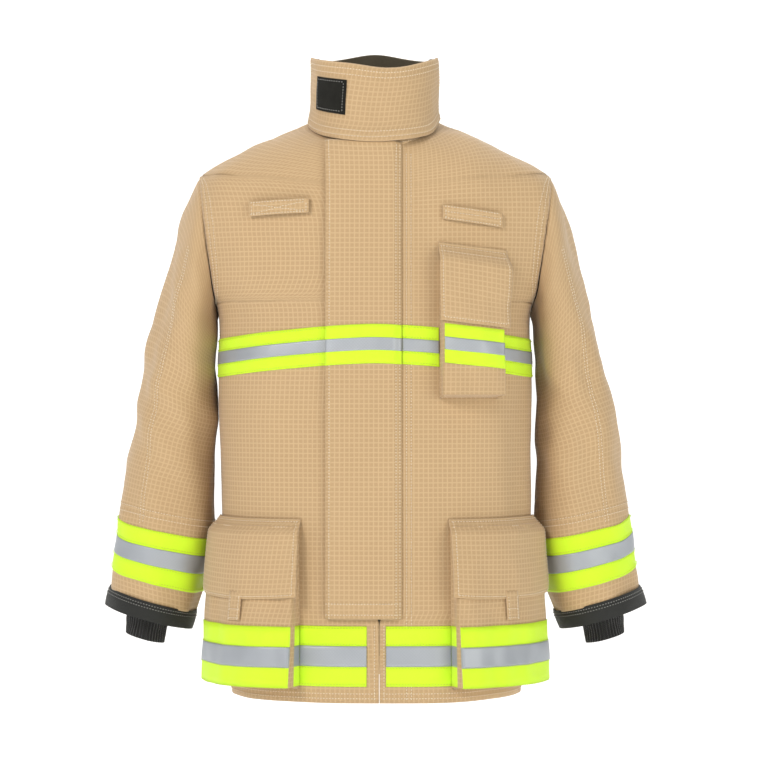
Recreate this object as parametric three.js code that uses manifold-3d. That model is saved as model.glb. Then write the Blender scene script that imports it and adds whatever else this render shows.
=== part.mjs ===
// Turnout coat: a firefighter's protective coat, closed, hanging in its worn shape.
// Millimetres, +Z up, front towards -Y, the wearer's right towards -X.
// Heights are worked out from the hem (z = 0); the whole coat is then moved so that
// the hanger loop inside the back of the collar is the origin.
import * as THREE from "three";
import { mergeVertices } from "three/addons/utils/BufferGeometryUtils.js";
import Module from "manifold-3d";

const wasm = await Module();
wasm.setup();

// ---------------------------------------------------------------- driving dimensions
const GAP = 0.4; // clearance between pieces that are sewn or rest together

// Overall size. Everything placed on the body follows these three.
const CHEST_HALF_WIDTH = 206;
const FRONT_DEPTH_HEM = 150;
const FRONT_DEPTH_NECK = 122;
const FRONT_NECK_HEIGHT = 712;
const BACK_DEPTH = 143;

const AROUND = 32; // facets round the body
const SLEEVE_AROUND = 18; // facets round a sleeve

// Cloth layers
const SHELL_THICK = 4;
const BARRIER_THICK = 1.2;
const LINER_THICK = 4;
const CUFF_THICK = 3.4;
const TRIM_THICK = 1.2;
const SIDE_SEAM_Y = 12;
const LINER_HEM_RISE = 26; // the liner stops this far above the hem

// Front closure
const OPENING_X = 6;
const ZIP_HALF_GAP = 6.7;
const ZIP_TEETH_HALF = 1.2;
const ZIP_BOTTOM = 118;
const ZIP_TOP = 700;
const SLIDER_LENGTH = 16;
const SLIDER_HALF_WIDTH = 5;
const PULL_LENGTH = 30;
const PULL_HALF_WIDTH = 4;
const PULL_DROP = 2.4; // below the slider, so that the pull can swing sideways
const FLAP_SEAM_X = 35;
const FLAP_FREE_X = -62;
const FLAP_BOTTOM = 106;
const FLAP_TOP = 706;
const FLAP_LIFT = 4.4;
const FLAP_THICK = 3.4;
const FASTENER_WIDTH = 24;
const FASTENER_INSET = 5;

// Reflective trim
const CHEST_TRIM_HIGH = 480;
const CHEST_TRIM_WIDTH = 50;
const CHEST_TRIM_FALL = 18;
const HEM_TRIM_HIGH = 97;
const HEM_TRIM_WIDTH = 76;

// Radio pocket on the wearer's left chest
const RADIO_X = 126;
const RADIO_WIDTH = 88;
const RADIO_BOTTOM = 386;
const RADIO_HEIGHT = 196;
const RADIO_DEPTH = 34;
const RADIO_WALL = 3;
const RADIO_FLAP_DROP = 98;
const RADIO_FLAP_OVERHANG = 3;
const RADIO_FLAP_THICK = 4;
const RADIO_HINGE_LIFT = 2.5; // the flap's seam stands this far off the shell

// Microphone tab and loop
const MIC_WIDTH = 76;
const MIC_TALL = 18;
const MIC_THICK = 4;
const MIC_TAB = { x: -121, z: 629, fall: 0.05 };
const MIC_LOOP = { x: 125, z: 618, fall: -0.13 };
const MIC_LIFT = 2.5;

// Lower bellows pockets
const POCKET_INNER_X = 96;
const POCKET_OUTER_Y = -24;
const POCKET_BOTTOM = 18;
const POCKET_TOP = 226;
const POCKET_FLARE = 36; // how far the pocket face stands off the shell at its bottom
const POCKET_TOP_LIFT = 12;
const POCKET_WALL = 3;
const POCKET_FLAP_DROP = 98;
const POCKET_FLAP_ABOVE = 6; // how far the flap's seam is above the pocket's mouth
const POCKET_FLAP_EASE = 2;
const POCKET_FLAP_THICK = 3.4;
const PULL_TAB_X = 162;
const PULL_TAB_WIDTH = 17;
const PULL_TAB_LENGTH = 30;

// Collar
const COLLAR_RISE_FRONT = 98;
const COLLAR_RISE_SIDE = 82;
const COLLAR_RISE_BACK = 80;
const COLLAR_LEAN = 14; // how far the top edge leans back at the front
const COLLAR_THICK = 4;
const COLLAR_LINING_THICK = 2;
const COLLAR_FLAP_THICK = 4;
const COLLAR_FLAP_END_Y = -45;
const PATCH_WIDTH = 34;
const PATCH_TALL = 46;

// Hanger loop
const LOOP_WIDTH = 64;
const LOOP_TALL = 16;
const LOOP_STRAP = 3.5;
const LOOP_THICK = 2.5;

// Sleeve: each row is one section, given by its outer edge, its inner edge and its depth.
const ARMHOLE_TOP = { x: 230, z: 676 };
const ARMPIT = { x: 206, z: 494 };
const SLEEVE_ROWS = [
  { outer: [230, 676], inner: [206, 494], depth: 76, centreY: 0 },
  { outer: [252, 630], inner: [209, 482], depth: 77, centreY: 0 },
  { outer: [270, 570], inner: [211, 462], depth: 76, centreY: 2 },
  { outer: [288, 502], inner: [213, 430], depth: 74, centreY: 5 },
  { outer: [304, 430], inner: [214, 385], depth: 72, centreY: 8 },
  { outer: [320, 355], inner: [215, 322], depth: 70, centreY: 12 },
  { outer: [332, 280], inner: [215, 252], depth: 69, centreY: 16 },
  { outer: [343, 205], inner: [217, 180], depth: 68, centreY: 20 },
  { outer: [354, 133], inner: [240, 100], depth: 66, centreY: 23 },
];
const CUFF_LENGTH = 24;
const SLEEVE_TRIM_FROM = 0.24; // share of the last sections where the trim starts
const WRISTLET_ROWS = [
  { centre: [296, 138], half: 46, depth: 54 },
  { centre: [302, 104], half: 30, depth: 38 },
  { centre: [309, 64], half: 26, depth: 33 },
];
const WRISTLET_THICK = 3;
const LINING_EASE = 1.2; // room between the wristlet and the sleeve lining

// ---------------------------------------------------------------- solids
const far = 900; // larger than the coat, for cutting blocks

function toManifold(geometry) {
  const plain = geometry.clone();
  plain.deleteAttribute("normal");
  plain.deleteAttribute("uv");
  const merged = mergeVertices(plain, 1e-3);
  return new wasm.Manifold(
    new wasm.Mesh({
      numProp: 3,
      vertProperties: merged.attributes.position.array,
      triVerts: new Uint32Array(merged.index.array),
    }),
  );
}

// A closed solid through rings of points that all have the same count; the ends are capped.
function loft(rings) {
  const count = rings[0].length;
  const points = rings.flat();
  const lowCentre = points.length;
  const highCentre = lowCentre + 1;
  for (const ring of [rings[0], rings[rings.length - 1]]) {
    const centre = new THREE.Vector3();
    ring.forEach((p) => centre.add(p));
    points.push(centre.divideScalar(count));
  }
  const faces = [];
  for (let i = 0; i < count; i++) {
    const j = (i + 1) % count;
    for (let k = 0; k + 1 < rings.length; k++) {
      const low = k * count;
      const high = low + count;
      faces.push(low + i, low + j, high + j, low + i, high + j, high + i);
    }
    const top = (rings.length - 1) * count;
    faces.push(lowCentre, j, i, highCentre, top + i, top + j);
  }
  const geometry = new THREE.BufferGeometry();
  geometry.setAttribute(
    "position",
    new THREE.Float32BufferAttribute(points.flatMap((p) => [p.x, p.y, p.z]), 3),
  );
  geometry.setIndex(faces);
  const solid = toManifold(geometry);
  return solid;
}

function block(x0, x1, y0, y1, z0, z1) {
  const geometry = new THREE.BoxGeometry(x1 - x0, y1 - y0, z1 - z0);
  geometry.translate((x0 + x1) / 2, (y0 + y1) / 2, (z0 + z1) / 2);
  return toManifold(geometry);
}

// An outline in the XZ plane, cut through along Y between two depths.
function prismXZ(outline, y0, y1) {
  const shape = new THREE.Shape(outline.map(([x, z]) => new THREE.Vector2(x, z)));
  const geometry = new THREE.ExtrudeGeometry(shape, { depth: y1 - y0, bevelEnabled: false });
  geometry.rotateX(Math.PI / 2);
  geometry.translate(0, y1, 0);
  return toManifold(geometry);
}

function placed(geometry, matrix) {
  return toManifold(geometry.clone().applyMatrix4(matrix));
}

const coat = new THREE.Group();
const materials = {
  shell: new THREE.MeshStandardMaterial({ color: 0xd2b88a, roughness: 0.85, metalness: 0 }),
  liner: new THREE.MeshStandardMaterial({ color: 0x4f4a3c, roughness: 0.9, metalness: 0 }),
  barrier: new THREE.MeshStandardMaterial({ color: 0xd9d6c6, roughness: 0.6, metalness: 0 }),
  trim: new THREE.MeshStandardMaterial({ color: 0xe4fa3c, roughness: 0.6, metalness: 0 }),
  cuff: new THREE.MeshStandardMaterial({ color: 0x2c2d2b, roughness: 0.8, metalness: 0 }),
  knit: new THREE.MeshStandardMaterial({ color: 0x151515, roughness: 0.95, metalness: 0 }),
  fastener: new THREE.MeshStandardMaterial({ color: 0x14140f, roughness: 0.95, metalness: 0 }),
  zip: new THREE.MeshStandardMaterial({ color: 0x3a3a36, roughness: 0.5, metalness: 0.4 }),
};

function add(name, material, solid) {
  const mesh = solid.getMesh();
  const geometry = new THREE.BufferGeometry();
  geometry.setAttribute("position", new THREE.BufferAttribute(mesh.vertProperties, 3));
  geometry.setIndex(new THREE.BufferAttribute(mesh.triVerts, 1));
  const piece = new THREE.Mesh(geometry, materials[material]);
  piece.name = name;
  coat.add(piece);
}

// ---------------------------------------------------------------- body surface
// The front is one straight line from hem to neck, so that the zip and the storm flap's
// seam are straight.
function frontDepth(z) {
  return FRONT_DEPTH_HEM + ((FRONT_DEPTH_NECK - FRONT_DEPTH_HEM) * z) / FRONT_NECK_HEIGHT;
}

// Sections of the body, from the hem to the neck seam. A section's height may differ at
// the front, side and back. widen is added to the chest's half width.
const BODY_ROWS = [
  { front: 0, side: 0, back: 0, widen: -18, backDepth: BACK_DEPTH - 3 },
  { front: 120, side: 120, back: 120, widen: -8, backDepth: BACK_DEPTH - 1 },
  { front: 250, side: 250, back: 250, widen: -2, backDepth: BACK_DEPTH },
  { front: 400, side: 400, back: 400, widen: 0, backDepth: BACK_DEPTH },
  { front: 494, side: 494, back: 494, widen: -1, backDepth: BACK_DEPTH - 1 },
  { front: 525, side: 525, back: 525, widen: 11, backDepth: BACK_DEPTH - 2 },
  { front: 560, side: 560, back: 560, widen: 26, backDepth: BACK_DEPTH - 4 },
  { front: 615, side: 620, back: 615, widen: 42, backDepth: BACK_DEPTH - 10 },
  { front: 638, side: 650, back: 642, widen: 40, backDepth: BACK_DEPTH - 14 },
  { front: 656, side: 676, back: 668, widen: 25, backDepth: BACK_DEPTH - 21 },
  { front: 676, side: 706, back: 705, widen: -26, backDepth: BACK_DEPTH - 38 },
  { front: 695, side: 733, back: 740, widen: -80, backDepth: BACK_DEPTH - 59 },
  { front: FRONT_NECK_HEIGHT, side: 752, back: 768, widen: -126, backDepth: BACK_DEPTH - 81 },
];
const ROUNDNESS = 2.6;

function sectionRing(row, around, rise = { front: 0, side: 0, back: 0 }, lean = 0) {
  const ring = [];
  const halfWidth = CHEST_HALF_WIDTH + row.widen;
  for (let i = 0; i < around; i++) {
    const angle = (i / around) * 2 * Math.PI - Math.PI / 2;
    const c = Math.cos(angle);
    const s = Math.sin(angle);
    const depth = s < 0 ? frontDepth(row.front) - lean : row.backDepth;
    const r =
      (Math.abs(c / halfWidth) ** ROUNDNESS + Math.abs(s / depth) ** ROUNDNESS) ** (-1 / ROUNDNESS);
    const share = s * s;
    const endHeight = s < 0 ? row.front + rise.front : row.back + rise.back;
    const sideHeight = row.side + rise.side;
    ring.push(
      new THREE.Vector3(r * c, r * s, sideHeight + (endHeight - sideHeight) * share),
    );
  }
  return ring;
}

// Moves each point of a grid of rings outwards along the surface normal.
function offsetRings(rings, offsetAt) {
  const count = rings[0].length;
  return rings.map((ring, k) =>
    ring.map((p, i) => {
      const above = rings[Math.min(k + 1, rings.length - 1)][i];
      const below = rings[Math.max(k - 1, 0)][i];
      const next = ring[(i + 1) % count];
      const previous = ring[(i + count - 1) % count];
      const alongRing = next.clone().sub(previous);
      const normal = alongRing.cross(above.clone().sub(below)).normalize();
      return p.clone().addScaledVector(normal, offsetAt(p.z));
    }),
  );
}

const bodyRings = BODY_ROWS.map((row) => sectionRing(row, AROUND));

// The body's solid, offset outwards; open = true runs it past the hem and the neck.
function body(offset, open = true) {
  const offsetAt = typeof offset === "number" ? () => offset : offset;
  const rings = offsetRings(bodyRings, offsetAt);
  if (open) {
    const down = new THREE.Vector3(0, 0, -40);
    const up = new THREE.Vector3(0, 0, 40);
    rings.unshift(rings[0].map((p) => p.clone().add(down)));
    rings.push(rings[rings.length - 1].map((p) => p.clone().add(up)));
  }
  return loft(rings);
}

function bodyLayer(inner, outer) {
  return body(outer).subtract(body(inner));
}

// The point of the body's surface straight in front of a place, and the plan angle there.
function frontPoint(x, z) {
  const at = (px) => {
    let k = 0;
    while (k + 2 < BODY_ROWS.length && BODY_ROWS[k + 1].front < z) k++;
    const low = BODY_ROWS[k];
    const high = BODY_ROWS[k + 1];
    const share = (z - low.front) / (high.front - low.front);
    const halfWidth = CHEST_HALF_WIDTH + low.widen + (high.widen - low.widen) * share;
    const inside = 1 - Math.abs(px / halfWidth) ** ROUNDNESS;
    return -frontDepth(z) * inside ** (1 / ROUNDNESS);
  };
  const slope = (at(x + 2) - at(x - 2)) / 4;
  return { y: at(x), angle: Math.atan(slope) };
}

// ---------------------------------------------------------------- cutting shapes
const slope = (ARMHOLE_TOP.x - ARMPIT.x) / (ARMHOLE_TOP.z - ARMPIT.z);

function armholeX(z) {
  return ARMPIT.x + slope * (z - ARMPIT.z);
}

// Everything beyond the armhole planes, above the armpits.
function beyondArmholes() {
  const outline = (side) => [
    [side * armholeX(ARMPIT.z), ARMPIT.z],
    [side * far, ARMPIT.z],
    [side * far, far + 100],
    [side * armholeX(far + 100), far + 100],
  ];
  return prismXZ(outline(1), -far, far).add(prismXZ(outline(-1).reverse(), -far, far));
}

const armholes = beyondArmholes();
const frontHalf = block(-far, far, -far, SIDE_SEAM_Y - GAP / 2, -far, far);
const backHalf = block(-far, far, SIDE_SEAM_Y + GAP / 2, far, -far, far);
const rightOfZip = block(-far, OPENING_X - ZIP_HALF_GAP, -far, far, -far, far);
const leftOfZip = block(OPENING_X + ZIP_HALF_GAP, far, -far, far, -far, far);

// ---------------------------------------------------------------- outer shell and lining
function makeShell() {
  const wall = body(0, false).subtract(body(-SHELL_THICK)).subtract(armholes);
  add("front_right_shell", "shell", wall.intersect(frontHalf).intersect(rightOfZip));
  add("front_left_shell", "shell", wall.intersect(frontHalf).intersect(leftOfZip));
  add("back_shell", "shell", wall.intersect(backHalf));
}

function makeLining() {
  const frontFacing = 30;
  const frontSlot = block(OPENING_X - frontFacing, OPENING_X + frontFacing, -far, 0, -far, far);
  const kept = block(-far, far, -far, far, LINER_HEM_RISE, far).subtract(frontSlot);
  const barrierOut = -SHELL_THICK - GAP;
  const barrierIn = barrierOut - BARRIER_THICK;
  const linerOut = barrierIn - GAP;
  const linerIn = linerOut - LINER_THICK;
  const layer = (inner, outer) =>
    body(outer, false).subtract(body(inner)).subtract(armholes).intersect(kept);
  add("moisture_barrier", "barrier", layer(barrierIn, barrierOut));
  add("thermal_liner", "liner", layer(linerIn, linerOut));
}

// ---------------------------------------------------------------- front closure
function makeZip() {
  const layer = bodyLayer(-3.2, -1.4);
  const strip = (x0, x1) => block(x0, x1, -far, 0, ZIP_BOTTOM, ZIP_TOP);
  const edge = ZIP_HALF_GAP - GAP;
  const teeth = ZIP_TEETH_HALF;
  add("zip_tape_right", "zip", layer.intersect(strip(OPENING_X - edge, OPENING_X - teeth - GAP)));
  add("zip_tape_left", "zip", layer.intersect(strip(OPENING_X + teeth + GAP, OPENING_X + edge)));
  add("zip_teeth", "zip", bodyLayer(-3.6, -0.4).intersect(strip(OPENING_X - teeth, OPENING_X + teeth)));
  const under = bodyLayer(0.7, FLAP_LIFT - 1);
  const top = ZIP_TOP - 2;
  const sliderLow = top - SLIDER_LENGTH;
  const slider = block(
    OPENING_X - SLIDER_HALF_WIDTH,
    OPENING_X + SLIDER_HALF_WIDTH,
    -far,
    0,
    sliderLow,
    top,
  );
  add("zip_slider", "zip", under.intersect(slider));
  const pullTop = sliderLow - PULL_DROP;
  const pull = block(
    OPENING_X - PULL_HALF_WIDTH,
    OPENING_X + PULL_HALF_WIDTH,
    -far,
    0,
    pullTop - PULL_LENGTH,
    pullTop,
  );
  add("zip_pull", "zip", bodyLayer(1.2, FLAP_LIFT - 1.4).intersect(pull));
}

function makeStormFlap() {
  const outline = block(FLAP_FREE_X, FLAP_SEAM_X, -far, 0, FLAP_BOTTOM, FLAP_TOP);
  add("storm_flap", "shell", bodyLayer(FLAP_LIFT, FLAP_LIFT + FLAP_THICK).intersect(outline));
  const from = FLAP_FREE_X + FASTENER_INSET;
  const strip = block(from, from + FASTENER_WIDTH, -far, 0, FLAP_BOTTOM + 14, FLAP_TOP - 20);
  add("front_loop_strip", "fastener", bodyLayer(GAP, 1.6).intersect(strip));
  const hook = bodyLayer(2.2, FLAP_LIFT - GAP).intersect(strip);
  add("storm_flap_hook_strip", "fastener", hook);
}

// ---------------------------------------------------------------- reflective trim
// How far a line across the chest falls on its way from the centre to the side.
function chestFall(x) {
  return CHEST_TRIM_FALL * (Math.abs(x) / CHEST_HALF_WIDTH) ** 1.5;
}

function trimOutline(x0, x1, high, width, fallAt) {
  const steps = 6;
  const top = [];
  const bottom = [];
  for (let i = 0; i <= steps; i++) {
    const x = x0 + ((x1 - x0) * i) / steps;
    bottom.push([x, high - width - fallAt(x)]);
    top.unshift([x, high - fallAt(x)]);
  }
  return bottom.concat(top);
}

const level = () => 0;
const wide = CHEST_HALF_WIDTH + 30;

function makeTrims() {
  const skin = bodyLayer(GAP, GAP + TRIM_THICK);
  const band = (x0, x1, y0, y1, high, width, fallAt) =>
    skin.intersect(prismXZ(trimOutline(x0, x1, high, width, fallAt), y0, y1));
  const chest = (x0, x1, y0, y1) =>
    band(x0, x1, y0, y1, CHEST_TRIM_HIGH, CHEST_TRIM_WIDTH, chestFall);
  const hem = (x0, x1, y0, y1) => band(x0, x1, y0, y1, HEM_TRIM_HIGH, HEM_TRIM_WIDTH, level);
  const front = SIDE_SEAM_Y - GAP;
  const radioEdge = RADIO_WIDTH / 2 + 6;
  add("chest_trim_right", "trim", chest(-wide, FLAP_FREE_X - 1, -far, front));
  add("chest_trim_left_inner", "trim", chest(FLAP_SEAM_X + 1, RADIO_X - radioEdge, -far, front));
  add("chest_trim_left_outer", "trim", chest(RADIO_X + radioEdge, wide, -far, front));
  add("chest_trim_back", "trim", chest(-wide, wide, SIDE_SEAM_Y + GAP, far));
  add("hem_trim_back", "trim", hem(-wide, wide, SIDE_SEAM_Y + GAP, far));
  const zipEdge = ZIP_HALF_GAP + 2;
  const pocketEdge = POCKET_INNER_X - 2;
  add("hem_trim_right", "trim", hem(-pocketEdge, OPENING_X - zipEdge, -far, 0));
  add("hem_trim_left", "trim", hem(OPENING_X + zipEdge, pocketEdge, -far, 0));
  const lift = FLAP_LIFT + FLAP_THICK + GAP;
  const onFlap = prismXZ(
    trimOutline(FLAP_FREE_X, FLAP_SEAM_X, CHEST_TRIM_HIGH, CHEST_TRIM_WIDTH, chestFall),
    -far,
    0,
  );
  add("chest_trim_flap", "trim", bodyLayer(lift, lift + TRIM_THICK).intersect(onFlap));
}

// ---------------------------------------------------------------- lower pockets
function pocketLift(z) {
  const share = Math.max(0, (POCKET_TOP - z) / (POCKET_TOP - POCKET_BOTTOM));
  return POCKET_TOP_LIFT + (POCKET_FLARE - POCKET_TOP_LIFT) * share;
}

function pocketRegion(side, inset, z0, z1) {
  const inner = side * (POCKET_INNER_X + inset);
  const x0 = side < 0 ? -far : inner;
  const x1 = side < 0 ? inner : far;
  return block(x0, x1, -far, POCKET_OUTER_Y - inset, z0, z1);
}

function makeLowerPocket(side, name) {
  const face = body(pocketLift).subtract(body(GAP));
  const hollow = body((z) => pocketLift(z) - POCKET_WALL);
  const outside = face.intersect(pocketRegion(side, 0, POCKET_BOTTOM, POCKET_TOP));
  const inside = hollow.intersect(
    pocketRegion(side, POCKET_WALL, POCKET_BOTTOM + POCKET_WALL, far),
  );
  add(name + "_pocket_body", "shell", outside.subtract(inside));
  const skin = body((z) => pocketLift(z) + GAP + TRIM_THICK).subtract(
    body((z) => pocketLift(z) + GAP),
  );
  const trim = pocketRegion(side, 1, HEM_TRIM_HIGH - HEM_TRIM_WIDTH, HEM_TRIM_HIGH);
  add("hem_trim_" + name + "_pocket", "trim", skin.intersect(trim));
  const flapLow = POCKET_TOP + POCKET_FLAP_ABOVE - POCKET_FLAP_DROP;
  const flapLift = (z) => pocketLift(z) + GAP + POCKET_FLAP_EASE;
  const flap = body((z) => flapLift(z) + POCKET_FLAP_THICK).subtract(body(flapLift));
  const flapRegion = pocketRegion(side, -2, flapLow, POCKET_TOP + POCKET_FLAP_ABOVE);
  add(name + "_pocket_flap", "shell", flap.intersect(flapRegion));
  const tabX = side * PULL_TAB_X;
  const tab = block(
    tabX - PULL_TAB_WIDTH / 2,
    tabX + PULL_TAB_WIDTH / 2,
    -far,
    0,
    flapLow - GAP - PULL_TAB_LENGTH,
    flapLow - GAP,
  );
  add(name + "_pocket_pull_tab", "shell", flap.intersect(tab));
}

// ---------------------------------------------------------------- radio pocket
// A place on the chest: x across, y out of the cloth (towards the front), z up.
function chestFrame(x, z, lift, fall) {
  const spot = frontPoint(x, z);
  const turn = new THREE.Matrix4().makeRotationZ(spot.angle);
  const tip = new THREE.Matrix4().makeRotationY(fall);
  const away = new THREE.Matrix4().makeTranslation(0, -lift, 0);
  const place = new THREE.Matrix4().makeTranslation(x, spot.y, z);
  return place.multiply(turn).multiply(tip).multiply(away);
}

function localBox(x0, x1, y0, y1, z0, z1) {
  const geometry = new THREE.BoxGeometry(x1 - x0, y1 - y0, z1 - z0);
  return geometry.translate((x0 + x1) / 2, (y0 + y1) / 2, (z0 + z1) / 2);
}

function makeRadioPocket() {
  const half = RADIO_WIDTH / 2;
  const middle = RADIO_BOTTOM + RADIO_HEIGHT / 2;
  const frame = chestFrame(RADIO_X, middle, 0, 0);
  const halfTall = RADIO_HEIGHT / 2;
  const back = 40;
  const skin = body(GAP);
  const cell = (inset, low, high) =>
    placed(localBox(-half + inset, half - inset, -RADIO_DEPTH + inset, back, low, high), frame);
  const outer = cell(0, -halfTall, halfTall).subtract(skin);
  const inner = cell(RADIO_WALL, -halfTall + RADIO_WALL, halfTall + RADIO_WALL);
  const backWall = body(GAP + RADIO_WALL);
  add("radio_pocket_body", "shell", outer.subtract(inner.subtract(backWall)));
  const wrap = RADIO_FLAP_OVERHANG;
  const flapOut = -RADIO_DEPTH - GAP - RADIO_FLAP_THICK - TRIM_THICK;
  const top = halfTall + GAP + RADIO_FLAP_THICK;
  const hood = placed(
    localBox(-half - wrap, half + wrap, flapOut, -RADIO_HINGE_LIFT, top - RADIO_FLAP_DROP, top),
    frame,
  );
  const clear = placed(
    localBox(
      -half - GAP,
      half + GAP,
      flapOut + RADIO_FLAP_THICK,
      back,
      -halfTall,
      halfTall + GAP,
    ),
    frame,
  );
  const above = placed(localBox(-far, far, flapOut, back, halfTall + GAP, top), frame);
  const apron = placed(
    localBox(-far, far, flapOut, flapOut + RADIO_FLAP_THICK, -halfTall, top),
    frame,
  );
  const flap = hood.subtract(clear).intersect(above.add(apron)).subtract(body(GAP + 1));
  add("radio_pocket_flap", "shell", flap);
  const trimHigh = CHEST_TRIM_HIGH - CHEST_TRIM_WIDTH / 2 - chestFall(RADIO_X) - middle;
  const flapLow = top - RADIO_FLAP_DROP;
  const trimTop = Math.min(trimHigh + CHEST_TRIM_WIDTH / 2, flapLow - GAP);
  const face = -RADIO_DEPTH - GAP;
  const trim = localBox(
    -half,
    half,
    face - TRIM_THICK,
    face,
    trimTop - CHEST_TRIM_WIDTH,
    trimTop,
  );
  add("chest_trim_radio_pocket", "trim", placed(trim, frame));
}

function makeMicStraps() {
  const strap = localBox(
    -MIC_WIDTH / 2,
    MIC_WIDTH / 2,
    -MIC_THICK,
    12,
    -MIC_TALL / 2,
    MIC_TALL / 2,
  );
  const skin = body(GAP);
  for (const [name, at] of [
    ["mic_tab", MIC_TAB],
    ["mic_loop", MIC_LOOP],
  ]) {
    const piece = placed(strap, chestFrame(at.x, at.z, MIC_LIFT, at.fall));
    add(name, "shell", piece.subtract(skin));
  }
}

// ---------------------------------------------------------------- collar
const NECK_ROW = BODY_ROWS[BODY_ROWS.length - 1];

// The collar's solid, offset outwards, through rings at these shares of its height.
function collar(offset, shares) {
  const flat = { front: 0, side: 0, back: 0 };
  const rise = { front: COLLAR_RISE_FRONT, side: COLLAR_RISE_SIDE, back: COLLAR_RISE_BACK };
  const seam = sectionRing(NECK_ROW, AROUND, flat, 0);
  const edge = sectionRing(NECK_ROW, AROUND, rise, COLLAR_LEAN);
  const [low, high] = offsetRings([seam, edge], () => offset);
  const at = (share) => low.map((p, i) => p.clone().lerp(high[i], share));
  return loft(shares.map(at));
}

function makeCollar() {
  const frontGap = block(OPENING_X - 20, OPENING_X + 20, -far, 0, -far, far);
  const start = 0.06;
  const layer = (outer, inner, low) =>
    collar(outer, [low, 1]).subtract(collar(inner, [low - 0.3, low, 1, 1.3]));
  const band = layer(0, -COLLAR_THICK, start).subtract(frontGap);
  add("collar_band", "shell", band);
  const liningOut = -COLLAR_THICK - GAP;
  const lining = layer(liningOut, liningOut - COLLAR_LINING_THICK, start).subtract(frontGap);
  add("collar_lining", "liner", lining);
  const flapIn = 1.2;
  const reach = block(-far, far, -far, COLLAR_FLAP_END_Y, -far, far);
  const flapOut = flapIn + COLLAR_FLAP_THICK;
  const flap = layer(flapOut, flapIn, 2 * start)
    .intersect(reach)
    .subtract(body(FLAP_LIFT + FLAP_THICK + 1, false));
  add("collar_flap", "shell", flap);
  const patch = placed(
    localBox(-PATCH_WIDTH / 2, PATCH_WIDTH / 2, -3, 14, -PATCH_TALL / 2, PATCH_TALL / 2),
    patchFrame(),
  );
  add("collar_patch", "fastener", patch.subtract(collar(flapOut + GAP, [-0.3, 2 * start, 1, 1.3])));
}

function patchFrame() {
  const angle = THREE.MathUtils.degToRad(-32);
  const place = new THREE.Matrix4().makeTranslation(-53, -106, FRONT_NECK_HEIGHT + 60);
  const lean = new THREE.Matrix4().makeRotationX(-Math.atan(COLLAR_LEAN / COLLAR_RISE_FRONT));
  return place.multiply(new THREE.Matrix4().makeRotationZ(angle)).multiply(lean);
}

function makeHangerLoop() {
  const shape = new THREE.Shape();
  const half = LOOP_WIDTH / 2;
  const tall = LOOP_TALL / 2;
  const slot = (target, w, h) => {
    target.moveTo(-w + h, -h);
    target.lineTo(w - h, -h);
    target.absarc(w - h, 0, h, -Math.PI / 2, Math.PI / 2, false);
    target.lineTo(-w + h, h);
    target.absarc(-w + h, 0, h, Math.PI / 2, (3 * Math.PI) / 2, false);
  };
  slot(shape, half, tall);
  const hole = new THREE.Path();
  slot(hole, half - LOOP_STRAP, tall - LOOP_STRAP);
  shape.holes.push(hole);
  const options = { depth: LOOP_THICK, bevelEnabled: false, curveSegments: 5 };
  const geometry = new THREE.ExtrudeGeometry(shape, options);
  geometry.rotateX(Math.PI / 2);
  geometry.translate(0, hangerPlace.y + LOOP_THICK / 2, hangerPlace.z);
  add("hanger_loop", "liner", toManifold(geometry));
}

const hangerPlace = {
  y: BACK_DEPTH - 81 - COLLAR_THICK - COLLAR_LINING_THICK - LOOP_THICK - 8,
  z: NECK_ROW.back + 12,
};

// ---------------------------------------------------------------- sleeves
function sleeveRing(side, row, offset) {
  const [ox, oz] = row.outer;
  const [ix, iz] = row.inner;
  const across = new THREE.Vector3(side * (ox - ix), 0, oz - iz);
  const half = across.length() / 2 + offset;
  across.normalize();
  const centre = new THREE.Vector3((side * (ox + ix)) / 2, row.centreY, (oz + iz) / 2);
  return ellipseRing(side, centre, across, half, row.depth + offset);
}

function ellipseRing(side, centre, across, half, depth) {
  const ring = [];
  for (let i = 0; i < SLEEVE_AROUND; i++) {
    const angle = (-i / SLEEVE_AROUND) * 2 * Math.PI * side;
    const p = centre.clone().addScaledVector(across, half * Math.cos(angle));
    p.y += depth * Math.sin(angle);
    ring.push(p);
  }
  return ring;
}

// A ring carried on past the end of a loft, in the direction the loft was going.
function carriedOn(last, before, reach) {
  const step = new THREE.Vector3();
  last.forEach((p, i) => step.add(p).sub(before[i]));
  step.normalize().multiplyScalar(reach);
  return last.map((p) => p.clone().add(step));
}

function tube(rings, open) {
  const list = rings.slice();
  if (open) {
    list.unshift(carriedOn(list[0], list[1], 20));
    list.push(carriedOn(list[list.length - 1], list[list.length - 2], 20));
  }
  return loft(list);
}

function mixRow(a, b, share) {
  const mix = (p, q) => p + (q - p) * share;
  return {
    outer: [mix(a.outer[0], b.outer[0]), mix(a.outer[1], b.outer[1])],
    inner: [mix(a.inner[0], b.inner[0]), mix(a.inner[1], b.inner[1])],
    depth: mix(a.depth, b.depth),
    centreY: mix(a.centreY, b.centreY),
  };
}

function shifted(row, distance, direction) {
  return {
    outer: [row.outer[0] + direction[0] * distance, row.outer[1] + direction[1] * distance],
    inner: [row.inner[0] + direction[0] * distance, row.inner[1] + direction[1] * distance],
    depth: row.depth,
    centreY: row.centreY,
  };
}

function sleeveSkin(side, rows, inner, outer) {
  const rings = (offset) => rows.map((row) => sleeveRing(side, row, offset));
  return tube(rings(outer), false).subtract(tube(rings(inner), true));
}

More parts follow.
